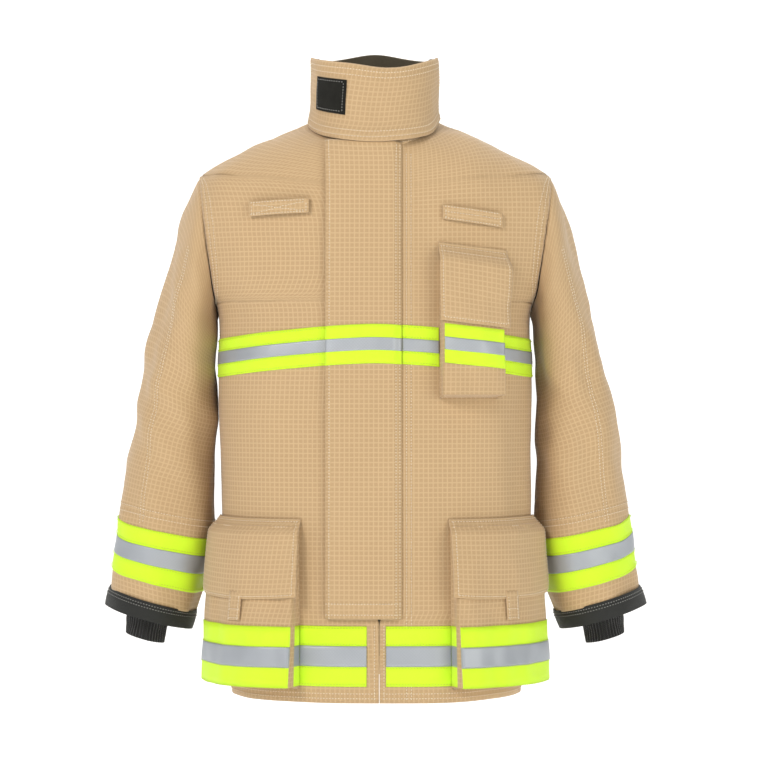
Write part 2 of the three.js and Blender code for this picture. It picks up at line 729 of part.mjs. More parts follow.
function makeSleeve(side, name) {
  const count = SLEEVE_ROWS.length;
  const last = SLEEVE_ROWS[count - 1];
  const first = shifted(SLEEVE_ROWS[0], 1, [1, 0]);
  const rows = [first].concat(SLEEVE_ROWS.slice(1));
  add(name + "_sleeve_shell", "shell", sleeveSkin(side, rows, -SHELL_THICK, 0));
  const linerOut = -SHELL_THICK - GAP;
  const linerRows = rows.slice(0, count - 1).concat([mixRow(rows[count - 2], last, 0.75)]);
  const liner = sleeveSkin(side, linerRows, linerOut - LINER_THICK, linerOut);
  add(name + "_sleeve_liner", "liner", liner);
  const trimRows = [
    mixRow(rows[count - 3], rows[count - 2], 1 - SLEEVE_TRIM_FROM),
    rows[count - 2],
    mixRow(rows[count - 2], last, 0.66),
  ];
  add(name + "_sleeve_trim", "trim", sleeveSkin(side, trimRows, GAP, GAP + TRIM_THICK));
  const axis = [last.outer[1] - last.inner[1], last.inner[0] - last.outer[0]];
  const length = Math.hypot(axis[0], axis[1]);
  const down = [axis[0] / length, axis[1] / length];
  const cuffTop = shifted(last, GAP, down);
  const cuffRows = [cuffTop, shifted(cuffTop, CUFF_LENGTH, down)];
  add(name + "_cuff", "cuff", sleeveSkin(side, cuffRows, 1 - CUFF_THICK, 1));
  makeWristlet(side, name, down);
}

function makeWristlet(side, name, down) {
  const across = new THREE.Vector3(-side * down[1], 0, down[0]);
  const rings = (offset) =>
    WRISTLET_ROWS.map((row) => {
      const centreY = SLEEVE_ROWS[SLEEVE_ROWS.length - 1].centreY;
      const centre = new THREE.Vector3(side * row.centre[0], centreY, row.centre[1]);
      const half = row.half - LINING_EASE + offset;
      return ellipseRing(side, centre, across, half, row.depth - LINING_EASE + offset);
    });
  const solid = tube(rings(0), false).subtract(tube(rings(-WRISTLET_THICK), true));
  add(name + "_wristlet", "knit", solid);
}

// ---------------------------------------------------------------- the coat
makeShell();
makeLining();
makeZip();
makeStormFlap();
makeTrims();
makeRadioPocket();
makeMicStraps();
makeCollar();
makeHangerLoop();
for (const [side, name] of [
  [-1, "right"],
  [1, "left"],
]) {
  makeLowerPocket(side, name);
  makeSleeve(side, name);
}
coat.position.set(0, -hangerPlace.y, -hangerPlace.z);

export default coat;
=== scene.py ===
"""Turnout coat: the fabric, trim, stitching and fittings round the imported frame."""
import math
import bpy
import numpy as np
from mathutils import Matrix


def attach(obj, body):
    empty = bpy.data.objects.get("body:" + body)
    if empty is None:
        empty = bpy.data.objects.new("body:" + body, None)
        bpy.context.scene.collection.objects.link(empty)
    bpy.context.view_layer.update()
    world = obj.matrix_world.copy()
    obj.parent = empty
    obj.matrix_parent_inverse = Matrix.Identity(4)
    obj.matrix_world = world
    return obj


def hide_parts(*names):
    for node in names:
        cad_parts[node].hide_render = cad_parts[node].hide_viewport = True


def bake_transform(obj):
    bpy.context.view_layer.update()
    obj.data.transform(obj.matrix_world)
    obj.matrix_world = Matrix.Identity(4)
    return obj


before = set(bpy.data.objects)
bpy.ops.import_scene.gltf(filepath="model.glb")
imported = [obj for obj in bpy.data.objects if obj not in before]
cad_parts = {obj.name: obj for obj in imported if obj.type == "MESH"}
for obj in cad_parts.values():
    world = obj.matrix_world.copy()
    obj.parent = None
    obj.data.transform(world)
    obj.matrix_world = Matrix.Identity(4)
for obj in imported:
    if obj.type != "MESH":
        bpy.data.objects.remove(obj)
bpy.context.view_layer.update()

# ------------------------------------------------------------------ driving sizes, in metres
# The body is worked out from its hem upwards and then moved by SHIFT, which puts the
# hanger loop at the origin, as the frame has it.
SHIFT = np.array([0.0, -0.0455, -0.780])
CHEST = 0.206
FRONT_HEM, FRONT_NECK, NECK_Z = 0.150, 0.122, 0.712
ROUND = 2.6
SIDE_SEAM_Y = 0.012
OPENING_X = 0.006
ARMPIT, ARMTOP = (0.206, 0.494), (0.230, 0.676)
CLOTH = 0.0022
STITCH, THREAD = 0.0038, 0.00062

# front, side and back height, half width and back depth of each section of the body
ROWS = np.array([
    (0.000, 0.000, 0.000, 0.188, 0.140),
    (0.120, 0.120, 0.120, 0.198, 0.142),
    (0.250, 0.250, 0.250, 0.204, 0.143),
    (0.400, 0.400, 0.400, 0.206, 0.143),
    (0.494, 0.494, 0.494, 0.205, 0.142),
    (0.525, 0.525, 0.525, 0.217, 0.141),
    (0.560, 0.560, 0.560, 0.232, 0.139),
    (0.615, 0.620, 0.615, 0.248, 0.133),
    (0.638, 0.650, 0.642, 0.246, 0.129),
    (0.656, 0.676, 0.668, 0.231, 0.122),
    (0.676, 0.706, 0.705, 0.180, 0.105),
    (0.695, 0.733, 0.740, 0.126, 0.084),
    (0.712, 0.752, 0.768, 0.080, 0.062),
])
TOP = len(ROWS) - 1.0
# outer edge x, z; inner edge x, z; depth; centre y of each section of a sleeve
SLEEVE = np.array([
    (0.230, 0.676, 0.206, 0.494, 0.076, 0.000),
    (0.252, 0.630, 0.209, 0.482, 0.077, 0.000),
    (0.270, 0.570, 0.211, 0.462, 0.076, 0.002),
    (0.288, 0.502, 0.213, 0.430, 0.074, 0.005),
    (0.304, 0.430, 0.214, 0.385, 0.072, 0.008),
    (0.320, 0.355, 0.215, 0.322, 0.070, 0.012),
    (0.332, 0.280, 0.215, 0.252, 0.069, 0.016),
    (0.343, 0.205, 0.217, 0.180, 0.068, 0.020),
    (0.354, 0.133, 0.240, 0.100, 0.066, 0.023),
])


# ------------------------------------------------------------------ numbers
def along(table, t):
    """A smooth curve through the rows of a table, at the places t."""
    t = np.clip(np.asarray(t, float), 0, len(table) - 1 - 1e-9)
    k = t.astype(int)
    f = (t - k)[..., None]
    tangent = np.gradient(table, axis=0)
    a, b = table[k], table[k + 1]
    ta, tb = tangent[k], tangent[k + 1]
    f2, f3 = f * f, f ** 3
    return (2 * f3 - 3 * f2 + 1) * a + (f3 - 2 * f2 + f) * ta + (3 * f2 - 2 * f3) * b + (f3 - f2) * tb


_rng = np.random.default_rng(11)
_PERM = _rng.permutation(256)
_GRAD = _rng.normal(size=(256, 3))
_GRAD /= np.linalg.norm(_GRAD, axis=1)[:, None]


def noise(p):
    """Smooth gradient noise of points p (..., 3), about -1 to 1."""
    base = np.floor(p).astype(int)
    f = p - base
    w = f * f * f * (f * (f * 6 - 15) + 10)
    total = 0.0
    for corner in np.ndindex(2, 2, 2):
        c = base + np.array(corner)
        h = _PERM[(_PERM[(_PERM[c[..., 0] % 256] + c[..., 1]) % 256] + c[..., 2]) % 256]
        dot = (_GRAD[h] * (f - np.array(corner))).sum(-1)
        weight = np.prod(np.where(np.array(corner) == 1, w, 1 - w), axis=-1)
        total = total + dot * weight
    return total * 1.6


def smooth(a, b, x):
    s = np.clip((x - a) / (b - a), 0, 1)
    return s * s * (3 - 2 * s)


# ------------------------------------------------------------------ body surface
def front_depth(z):
    return FRONT_HEM + (FRONT_NECK - FRONT_HEM) * z / NECK_Z


def base_point(theta, t):
    front, side, back, half, back_depth = np.moveaxis(along(ROWS, t), -1, 0)
    c, s = np.cos(theta), np.sin(theta)
    depth = np.where(s < 0, front_depth(front), back_depth)
    r = (np.abs(c / half) ** ROUND + np.abs(s / depth) ** ROUND) ** (-1 / ROUND)
    end = np.where(s < 0, front, back)
    return np.stack([r * c, r * s, side + (end - side) * s * s], -1)


def base_normal(theta, t):
    d = 1e-3
    across = base_point(theta + d, t) - base_point(theta - d, t)
    t0, t1 = np.clip(t - 0.02, 0, TOP), np.clip(t + 0.02, 0, TOP)
    n = np.cross(across, base_point(theta, t1) - base_point(theta, t0))
    return n / np.linalg.norm(n, axis=-1, keepdims=True)


def at_height(theta, z):
    """The section number at which the body has height z at plan angle theta."""
    theta, z = np.broadcast_arrays(np.asarray(theta, float), np.asarray(z, float))
    low, high = np.zeros(z.shape), np.full(z.shape, TOP)
    for _ in range(26):
        mid = (low + high) / 2
        below = base_point(theta, mid)[..., 2] < z
        low, high = np.where(below, mid, low), np.where(below, high, mid)
    return (low + high) / 2


def locate(x, z):
    """Plan angle and section of the front surface at x and z."""
    x, z = np.broadcast_arrays(np.asarray(x, float), np.asarray(z, float))
    low, high = np.full(x.shape, -math.pi), np.zeros(x.shape)
    for _ in range(22):
        mid = (low + high) / 2
        left = base_point(mid, at_height(mid, z))[..., 0] < x
        low, high = np.where(left, mid, low), np.where(left, high, mid)
    theta = (low + high) / 2
    return theta, at_height(theta, z)


def drape(p):
    """How far the cloth stands off its smooth shape: soft upright folds and small creases."""
    x, y, z = p[..., 0], p[..., 1], p[..., 2]
    q = np.stack([x, y, z], -1)
    folds = noise(q / np.array([0.085, 0.085, 0.42]) + 3.1)
    soft = noise(q / np.array([0.045, 0.045, 0.13]) + 9.7)
    creases = noise(q / np.array([0.020, 0.020, 0.035]) + 21.4)
    calm = 1 - 0.75 * smooth(0.085, 0.02, np.abs(x + 0.014)) * (y < 0)
    low = 1.25 - 0.75 * smooth(0.05, 0.6, z)
    return calm * (0.0058 * folds * low + 0.0022 * soft + 0.0006 * creases)


def skin(theta, t, lift=0.0):
    """Points of the draped cloth, lifted off the shell, in the frame."""
    p = base_point(theta, t)
    return p + base_normal(theta, t) * (drape(p) + lift)[..., None] + SHIFT


# ------------------------------------------------------------------ meshes
def arc_uv(grid):
    """Distances in metres along and up a grid of points."""
    du = np.linalg.norm(np.diff(grid, axis=1), axis=-1)
    dv = np.linalg.norm(np.diff(grid, axis=0), axis=-1)
    u = np.concatenate([np.zeros((len(grid), 1)), np.cumsum(du, 1)], 1)
    v = np.concatenate([np.zeros((1, grid.shape[1])), np.cumsum(dv, 0)], 0)
    return np.stack([u, np.broadcast_to(v.mean(1, keepdims=True), u.shape)], -1)


def mesh_object(name, points, faces, material, uv=None, flat=False):
    mesh = bpy.data.meshes.new(name)
    faces = np.asarray(faces, np.int32)
    count, size = faces.shape
    mesh.vertices.add(len(points))
    mesh.vertices.foreach_set("co", np.asarray(points, np.float32).ravel())
    mesh.loops.add(count * size)
    mesh.loops.foreach_set("vertex_index", faces.ravel())
    mesh.polygons.add(count)
    mesh.polygons.foreach_set("loop_start", np.arange(0, count * size, size, dtype=np.int32))
    mesh.polygons.foreach_set("use_smooth", np.full(count, not flat))
    if uv is not None:
        layer = mesh.uv_layers.new(name="cloth")
        layer.data.foreach_set("uv", np.asarray(uv, np.float32)[faces.ravel()].ravel())
    mesh.materials.append(material)
    mesh.update()
    mesh.validate()
    obj = bpy.data.objects.new(name, mesh)
    bpy.context.scene.collection.objects.link(obj)
    return obj


def grid_faces(rows, cols, wrap):
    r, c = np.meshgrid(np.arange(rows - 1), np.arange(cols if wrap else cols - 1), indexing="ij")
    c2 = (c + 1) % cols
    return np.stack([r * cols + c, r * cols + c2, (r + 1) * cols + c2, (r + 1) * cols + c], -1).reshape(-1, 4)


def grid_normals(grid, wrap):
    across = np.roll(grid, -1, 1) - np.roll(grid, 1, 1) if wrap else np.gradient(grid, axis=1)
    n = np.cross(across, np.gradient(grid, axis=0))
    return n / np.maximum(np.linalg.norm(n, axis=-1, keepdims=True), 1e-12)


def cloth(name, grid, material, thick=CLOTH, wrap=False, uv=None, normals=None):
    """A closed sheet: the grid is its outer face, and the inner face is thick below it."""
    rows, cols = grid.shape[:2]
    n = grid_normals(grid, wrap) if normals is None else normals
    inner = grid - n * np.broadcast_to(np.asarray(thick, float), grid.shape[:2])[..., None]
    uv = arc_uv(grid) if uv is None else uv
    count = rows * cols
    outer_faces = grid_faces(rows, cols, wrap)
    faces = [outer_faces, outer_faces[:, ::-1] + count]
    index = np.arange(count).reshape(rows, cols)
    loops = [index[0], index[-1][::-1]] if wrap else []
    if wrap:
        for edge in loops:
            nxt = np.roll(edge, -1)
            faces.append(np.stack([nxt, edge, edge + count, nxt + count], -1))
    else:
        edge = np.concatenate([index[0, :-1], index[:-1, -1], index[-1, :0:-1], index[:0:-1, 0]])
        nxt = np.roll(edge, -1)
        faces.append(np.stack([nxt, edge, edge + count, nxt + count], -1))
    points = np.concatenate([grid.reshape(-1, 3), inner.reshape(-1, 3)])
    both_uv = np.concatenate([uv.reshape(-1, 2)] * 2)
    return mesh_object(name, points, np.concatenate(faces), material, both_uv)


def stitches(name, lines, material, lift=0.0004, pitch=STITCH):
    """Rows of thread: a short raised bar for each stitch along each line of points and normals."""
    points, faces = [], []
    ring = np.array([(-1, 0), (0, 1.2), (1, 0), (0, -0.6)])
    for line, normal in lines:
        step = np.linalg.norm(np.diff(line, axis=0), axis=1)
        s = np.concatenate([[0], np.cumsum(step)])
        count = int(s[-1] / pitch)
        for k in range(count):
            ends = (k * pitch + 0.0005, (k + 0.72) * pitch)
            a, b = (np.array([np.interp(e, s, line[:, i]) for i in range(3)]) for e in ends)
            n = np.array([np.interp(ends[0], s, normal[:, i]) for i in range(3)])
            way = (b - a) / max(np.linalg.norm(b - a), 1e-9)
            side = np.cross(n, way)
            first = len(points)
            for place, size in ((a, 0.3), ((a + b) / 2, 1.0), (b, 0.3)):
                for w, h in ring:
                    points.append(place + n * lift + (side * w + n * h) * THREAD * size)
            for level in (0, 4):
                for i in range(4):
                    j = (i + 1) % 4
                    quad = (level + i, level + j, level + 4 + j, level + 4 + i)
                    faces.append([first + q for q in quad])
            faces.append([first + 3, first + 2, first + 1, first])
            faces.append([first + 8, first + 9, first + 10, first + 11])
    return mesh_object(name, np.array(points), faces, material)


# ------------------------------------------------------------------ materials
def new_material(name):
    material = bpy.data.materials.new(name)
    material.use_nodes = True
    nodes = material.node_tree.nodes
    return material, nodes, material.node_tree.links, nodes["Principled BSDF"]


def math_node(nodes, links, kind, a, b=None):
    node = nodes.new("ShaderNodeMath")
    node.operation = kind
    for i, value in enumerate((a, b)):
        if value is None:
            continue
        if isinstance(value, (int, float)):
            node.inputs[i].default_value = value
        else:
            links.new(value, node.inputs[i])
    return node.outputs[0]


def noise_node(nodes, links, vector, scale, detail=3.0, rough=0.55):
    node = nodes.new("ShaderNodeTexNoise")
    node.inputs["Scale"].default_value = scale
    node.inputs["Detail"].default_value = detail
    node.inputs["Roughness"].default_value = rough
    links.new(vector, node.inputs["Vector"])
    return node.outputs["Fac"]


def mix_colour(nodes, links, fac, a, b):
    node = nodes.new("ShaderNodeMix")
    node.data_type = "RGBA"
    if isinstance(fac, (int, float)):
        node.inputs["Factor"].default_value = fac
    else:
        links.new(fac, node.inputs["Factor"])
    for socket, value in ((node.inputs[6], a), (node.inputs[7], b)):
        if isinstance(value, tuple):
            socket.default_value = (*value, 1)
        else:
            links.new(value, socket)
    return node.outputs[2]


def cloth_uv(nodes, links):
    uv = nodes.new("ShaderNodeUVMap")
    uv.uv_map = "cloth"
    split = nodes.new("ShaderNodeSeparateXYZ")
    links.new(uv.outputs[0], split.inputs[0])
    return uv.outputs[0], split.outputs[0], split.outputs[1]


def grid_lines(nodes, links, coordinate, pitch, width):
    """1 on a line of that width every pitch metres, falling softly to 0 beside it."""
    scaled = math_node(nodes, links, "DIVIDE", coordinate, pitch)
    ramp = math_node(nodes, links, "PINGPONG", scaled, 0.5)
    near = math_node(nodes, links, "SUBTRACT", 1.0, math_node(nodes, links, "DIVIDE", ramp, width / pitch))
    return math_node(nodes, links, "MAXIMUM", near, 0.0)


def add_bump(nodes, links, bsdf, height, distance, strength=0.6):
    bump = nodes.new("ShaderNodeBump")
    bump.inputs["Distance"].default_value = distance
    bump.inputs["Strength"].default_value = strength
    links.new(height, bump.inputs["Height"])
    links.new(bump.outputs[0], bsdf.inputs["Normal"])


def ripstop(name, base, line_colour, worn):
    """Woven aramid ripstop: a fine weave, raised reinforcing yarns in a square grid, and wear."""
    material, nodes, links, bsdf = new_material(name)
    uv, u, v = cloth_uv(nodes, links)
    pitch = 0.0062
    across = grid_lines(nodes, links, u, pitch, 0.0013)
    up = grid_lines(nodes, links, v, pitch, 0.0013)
    grid = math_node(nodes, links, "MAXIMUM", across, up)
    weave_u = math_node(nodes, links, "SINE", math_node(nodes, links, "MULTIPLY", u, 2 * math.pi / 0.0011))
    weave_v = math_node(nodes, links, "SINE", math_node(nodes, links, "MULTIPLY", v, 2 * math.pi / 0.0011))
    weave = math_node(nodes, links, "MULTIPLY", weave_u, weave_v)
    place = nodes.new("ShaderNodeTexCoord").outputs["Object"]
    blotch = noise_node(nodes, links, place, 7.0, 4.0)
    fleck = noise_node(nodes, links, uv, 900.0, 2.0)
    toned = mix_colour(nodes, links, blotch, base, worn)
    flecked = mix_colour(nodes, links, math_node(nodes, links, "MULTIPLY", fleck, 0.35), toned, line_colour)
    grid_share = math_node(nodes, links, "MULTIPLY", grid, 0.62)
    colour = mix_colour(nodes, links, grid_share, flecked, line_colour)
    links.new(colour, bsdf.inputs["Base Color"])
    rough = math_node(nodes, links, "ADD", math_node(nodes, links, "MULTIPLY", blotch, 0.16), 0.66)
    links.new(rough, bsdf.inputs["Roughness"])
    bsdf.inputs["Sheen Weight"].default_value = 0.22
    bsdf.inputs["Sheen Roughness"].default_value = 0.45
    bsdf.inputs["Specular IOR Level"].default_value = 0.28
    height = math_node(nodes, links, "ADD", math_node(nodes, links, "MULTIPLY", weave, 0.3), grid)
    add_bump(nodes, links, bsdf, height, 0.0004, 0.4)
    return material


def woven(name, dark, light, pitch, rough, sheen=0.1, scale=0.0003, blotch_scale=9.0):
    """A plain fine weave with uneven colour."""
    material, nodes, links, bsdf = new_material(name)
    _, u, v = cloth_uv(nodes, links)
    turn = 2 * math.pi / pitch
    weave_u = math_node(nodes, links, "SINE", math_node(nodes, links, "MULTIPLY", u, turn))
    weave_v = math_node(nodes, links, "SINE", math_node(nodes, links, "MULTIPLY", v, turn))
    weave = math_node(nodes, links, "MULTIPLY", weave_u, weave_v)
    place = nodes.new("ShaderNodeTexCoord").outputs["Object"]
    blotch = noise_node(nodes, links, place, blotch_scale, 4.0)
    fine = noise_node(nodes, links, place, 420.0, 2.0)
    fac = math_node(nodes, links, "ADD", math_node(nodes, links, "MULTIPLY", blotch, 0.6),
                    math_node(nodes, links, "MULTIPLY", fine, 0.4))
    links.new(mix_colour(nodes, links, fac, dark, light), bsdf.inputs["Base Color"])
    bsdf.inputs["Roughness"].default_value = rough
    bsdf.inputs["Sheen Weight"].default_value = sheen
    bsdf.inputs["Specular IOR Level"].default_value = 0.3
    add_bump(nodes, links, bsdf, math_node(nodes, links, "ADD", weave, fine), scale, 0.6)
    return material


def silver_tape(name):
    """Retroreflective tape: bluish grey with a sealed diamond pattern."""
    material, nodes, links, bsdf = new_material(name)
    _, u, v = cloth_uv(nodes, links)
    cell = 0.0042
    diagonal = grid_lines(nodes, links, math_node(nodes, links, "ADD", u, v), cell, 0.0007)
    other = grid_lines(nodes, links, math_node(nodes, links, "SUBTRACT", u, v), cell, 0.0007)
    net = math_node(nodes, links, "MAXIMUM", diagonal, other)
    place = nodes.new("ShaderNodeTexCoord").outputs["Object"]
    cloud = noise_node(nodes, links, place, 16.0, 3.0)
    toned = mix_colour(nodes, links, cloud, (0.30, 0.325, 0.36), (0.43, 0.46, 0.50))
    share = math_node(nodes, links, "MULTIPLY", net, 0.3)
    links.new(mix_colour(nodes, links, share, toned, (0.24, 0.26, 0.29)), bsdf.inputs["Base Color"])
    bsdf.inputs["Metallic"].default_value = 0.35
    rough = math_node(nodes, links, "ADD", math_node(nodes, links, "MULTIPLY", cloud, 0.2), 0.36)
    links.new(rough, bsdf.inputs["Roughness"])
    add_bump(nodes, links, bsdf, net, 0.0002, 0.4)
    return material


def pile(name, colour, tip):
    """Hook-and-loop pile: a rough, dark, fuzzy face."""
    material, nodes, links, bsdf = new_material(name)
    place = nodes.new("ShaderNodeTexCoord").outputs["Object"]
    fuzz = noise_node(nodes, links, place, 900.0, 3.0, 0.7)
    patch = noise_node(nodes, links, place, 60.0, 2.0)
    fac = math_node(nodes, links, "MULTIPLY", fuzz, patch)
    links.new(mix_colour(nodes, links, fac, colour, tip), bsdf.inputs["Base Color"])
    bsdf.inputs["Roughness"].default_value = 0.95
    bsdf.inputs["Sheen Weight"].default_value = 0.04
    bsdf.inputs["Specular IOR Level"].default_value = 0.15
    add_bump(nodes, links, bsdf, fuzz, 0.0008, 0.9)
    return material


TAN = ripstop("shell_ripstop", (0.430, 0.288, 0.150), (0.600, 0.440, 0.260), (0.385, 0.252, 0.128))
LIME = woven("lime_trim", (0.58, 0.93, 0.012), (0.70, 1.0, 0.030), 0.0012, 0.55, 0.1)
SILVER = silver_tape("silver_tape")
BLACK = woven("cuff_fabric", (0.009, 0.010, 0.009), (0.020, 0.021, 0.020), 0.0016, 0.62, 0.08)
KNIT = woven("knit_wristlet", (0.006, 0.006, 0.006), (0.020, 0.020, 0.020), 0.0024, 0.9, 0.35, 0.0006)
LINING = woven("quilted_lining", (0.060, 0.050, 0.032), (0.105, 0.088, 0.058), 0.0013, 0.8, 0.15)
BARRIER = woven("moisture_barrier", (0.60, 0.58, 0.48), (0.72, 0.70, 0.60), 0.0020, 0.5, 0.0)
PILE = pile("hook_and_loop", (0.006, 0.006, 0.005), (0.035, 0.035, 0.030))
CREAM = woven("cream_thread", (0.72, 0.62, 0.46), (0.86, 0.78, 0.62), 0.0006, 0.6, 0.2, 0.0001)
LIME_THREAD = woven("lime_thread", (0.50, 0.68, 0.03), (0.62, 0.80, 0.06), 0.0006, 0.6, 0.1, 0.0001)
GREY_THREAD = woven("grey_thread", (0.22, 0.22, 0.21), (0.34, 0.34, 0.33), 0.0006, 0.6, 0.1, 0.0001)
ZIP = woven("zip_metal_and_tape", (0.030, 0.030, 0.026), (0.070, 0.068, 0.060), 0.0010, 0.45, 0.0)


# ------------------------------------------------------------------ shell of the body
def crossing(t, sign, back):
    """Plan angle where each section meets the side seam or, above the armpit, the armhole plane."""
    start = math.pi / 2 if back else -math.pi / 2
    angles = np.linspace(start, math.radians(4), 500)[None]
    p = base_point(angles, np.asarray(t)[:, None])
    slope = (ARMTOP[0] - ARMPIT[0]) / (ARMTOP[1] - ARMPIT[1])
    beyond = (p[..., 0] > ARMPIT[0] + slope * (p[..., 2] - ARMPIT[1])) & (p[..., 2] > ARMPIT[1])
    past_seam = (p[..., 1] < SIDE_SEAM_Y) if back else (p[..., 1] > SIDE_SEAM_Y)
    hit = beyond | past_seam
    first = np.where(hit.any(1), hit.argmax(1), angles.shape[1] - 1)
    angle = angles[0][first]
    if sign > 0:
        return angle
    return math.pi - angle if back else -math.pi - angle


def section_places():
    """Sections of the body's mesh, closer together round the armhole."""
    low = np.linspace(0, 4, 84, endpoint=False)
    arm = np.linspace(4, 9.0, 60, endpoint=False)
    return np.concatenate([low, arm, np.linspace(9.0, TOP, 34)])


T_ROWS = section_places()


def front_grid(sign, lift=0.0, cols=76):
    z = base_point(np.full(T_ROWS.shape, -math.pi / 2), T_ROWS)[:, 2]
    half_gap = 0.0003 + 0.0064 * smooth(0.100, 0.116, z)
    start = locate(OPENING_X + sign * half_gap, z)[0]
    end = crossing(T_ROWS, sign, False)
    share = np.linspace(0, 1, cols)[None]
    theta = start[:, None] + (end - start)[:, None] * share
    t = np.broadcast_to(T_ROWS[:, None], theta.shape)
    return theta, t, skin(theta, t, lift)


def back_grid(lift=0.0, cols=132):
    start = crossing(T_ROWS, 1, True)
    end = crossing(T_ROWS, -1, True)
    theta = start[:, None] + (end - start)[:, None] * np.linspace(0, 1, cols)[None]
    t = np.broadcast_to(T_ROWS[:, None], theta.shape)
    return theta, t, skin(theta, t, lift)


def make_shell():
    edges = {}
    for sign, name in ((-1, "right"), (1, "left")):
        theta, t, grid = front_grid(sign)
        face = grid if sign > 0 else grid[:, ::-1]
        piece = cloth("shell_front_" + name, face, TAN)
        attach(piece, "torso")
        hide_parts(f"front_{name}_shell")
        edges[name] = grid[:, -1]
    _, _, grid = back_grid()
    piece = cloth("shell_back", grid, TAN)
    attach(piece, "torso")
    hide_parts("back_shell")
    edges["back_left"], edges["back_right"] = grid[:, 0], grid[:, -1]
    return edges


def make_lining():
    """The quilted thermal liner, with the moisture barrier between it and the shell."""
    cols = 260
    start, end = locate(OPENING_X + 0.03, 0.3)[0], locate(OPENING_X - 0.03, 0.3)[0] + 2 * math.pi
    theta = np.linspace(start, end, cols)[None, :]
    z0 = at_height(np.array(0.0), np.array(0.026))
    t = np.linspace(float(z0), TOP, 170)[:, None]
    theta, t = np.broadcast_arrays(theta, t)
    p = base_point(theta, t)
    slope = (ARMTOP[0] - ARMPIT[0]) / (ARMTOP[1] - ARMPIT[1])
    limit = ARMPIT[0] + slope * (p[..., 2] - ARMPIT[1]) - 0.004
    for name, lift, thick, material, slot, node in (
        ("moisture_barrier_sheet", -0.0052, 0.0006, BARRIER, "moisture_barrier", "moisture_barrier"),
        ("quilted_thermal_liner", -0.0072, 0.0030, LINING, "thermal_liner", "thermal_liner"),
    ):
        quilt = 0.0
        if slot == "thermal_liner":
            rise = np.sin(p[..., 2] * 52 + theta * 9)
            fall = np.sin(p[..., 2] * 52 - theta * 9)
            quilt = 0.0011 * np.abs(rise * fall) ** 0.5
        grid = skin(theta, t, lift + quilt)
        over = p[..., 2] > ARMPIT[1]
        grid[..., 0] = np.where(over, np.clip(grid[..., 0], -limit, limit), grid[..., 0])
        piece = cloth(name, grid, material, thick)
        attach(piece, "torso")
        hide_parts(node)


# ------------------------------------------------------------------ sleeves
SLEEVE_TOP = len(SLEEVE) - 1.0


def sleeve_frame(t):
    """Centre, in-plane direction from the inner to the outer edge, half width and depth (left side)."""
    ox, oz, ix, iz, depth, cy = np.moveaxis(along(SLEEVE, t), -1, 0)
    centre = np.stack([(ox + ix) / 2, cy, (oz + iz) / 2], -1)
    across = np.stack([ox - ix, np.zeros_like(ox), oz - iz], -1)
    width = np.linalg.norm(across, axis=-1)
    return centre, across / width[..., None], width / 2, depth


def armhole_ring(edges, side, phi):
    """The shell's armhole edge as one closed ring, as far round as each angle phi."""
    front = edges["left" if side > 0 else "right"] - SHIFT
    back = edges["back_left" if side > 0 else "back_right"] - SHIFT
    keep = (T_ROWS >= 4.0) & (T_ROWS <= 9.0)
    loop = np.concatenate([front[keep], back[keep][::-1]])
    loop[:, 0] *= side
    centre, across, _, _ = sleeve_frame(np.array(0.0))
    rel = loop - centre
    w, y = rel @ across, rel[:, 1]
    angle = np.arctan2(-y, w)
    radius = np.hypot(w, y)
    order = np.argsort(angle)
    angle, radius, off = angle[order], radius[order], (rel @ np.cross(across, (0, 1, 0)))[order]
    wrapped = np.angle(np.exp(1j * phi))
    r = np.interp(wrapped, angle, radius, period=2 * math.pi)
    o = np.interp(wrapped, angle, off, period=2 * math.pi)
    off_plane = np.cross(across, (0, 1, 0))
    back_and_forth = np.stack([np.zeros_like(r), -r * np.sin(wrapped), np.zeros_like(r)], -1)
    flat = centre + (r * np.cos(wrapped))[:, None] * across + back_and_forth
    return flat + o[:, None] * off_plane


def sleeve_drape(p, t, side):
    q = p * np.array([side * 1.0, 1, 1]) + (5.0 if side > 0 else 17.0)
    folds = noise(q / np.array([0.050, 0.050, 0.30]))
    slant = noise((q + p[..., [2, 2, 0]] * np.array([0.55, 0.0, 0.0])) / np.array([0.040, 0.060, 0.085]))
    fine = noise(q / 0.024)
    grow = smooth(0.0, 1.6, t)
    elbow = np.exp(-((t - 4.2) / 1.6) ** 2)
    seam = -0.0016 * np.exp(-((t / 0.09) ** 2))
    return seam + grow * (0.0062 * folds + (0.0024 + 0.0046 * elbow) * slant + 0.0008 * fine)


def sleeve_skin(side, t, phi, ring0=None, lift=0.0):
    centre, across, half, depth = sleeve_frame(t)
    p = centre + across * (half * np.cos(phi))[..., None]
    p[..., 1] -= depth * np.sin(phi)
    if ring0 is not None:
        c0, a0, h0, d0 = sleeve_frame(np.array(0.0))
        ellipse0 = c0 + a0 * (h0 * np.cos(phi[0]))[:, None]
        ellipse0[:, 1] -= d0 * np.sin(phi[0])
        p = p + (ring0 - ellipse0)[None] * (1 - smooth(0.0, 1.5, t))[..., None]
    n = grid_normals(p, False)
    out = p - centre
    n = np.where(((n * out).sum(-1) < 0)[..., None], -n, n)
    p = p + n * (sleeve_drape(p, t, side) + lift)[..., None]
    p[..., 0] *= side
    return p + SHIFT


SLEEVE_COLS = 132
TRIM_T = (6.77, 7.68)


def trim_edge(t_edge, phi):
    """The trim lies level on the outer side and slopes towards the inner side in front and behind."""
    turn = np.abs(np.angle(np.exp(1j * phi)))
    return t_edge - 0.16 * smooth(0.9, 0.0, turn) * 0.6


def sleeve_phi():
    return np.linspace(-math.pi, math.pi, SLEEVE_COLS + 1)


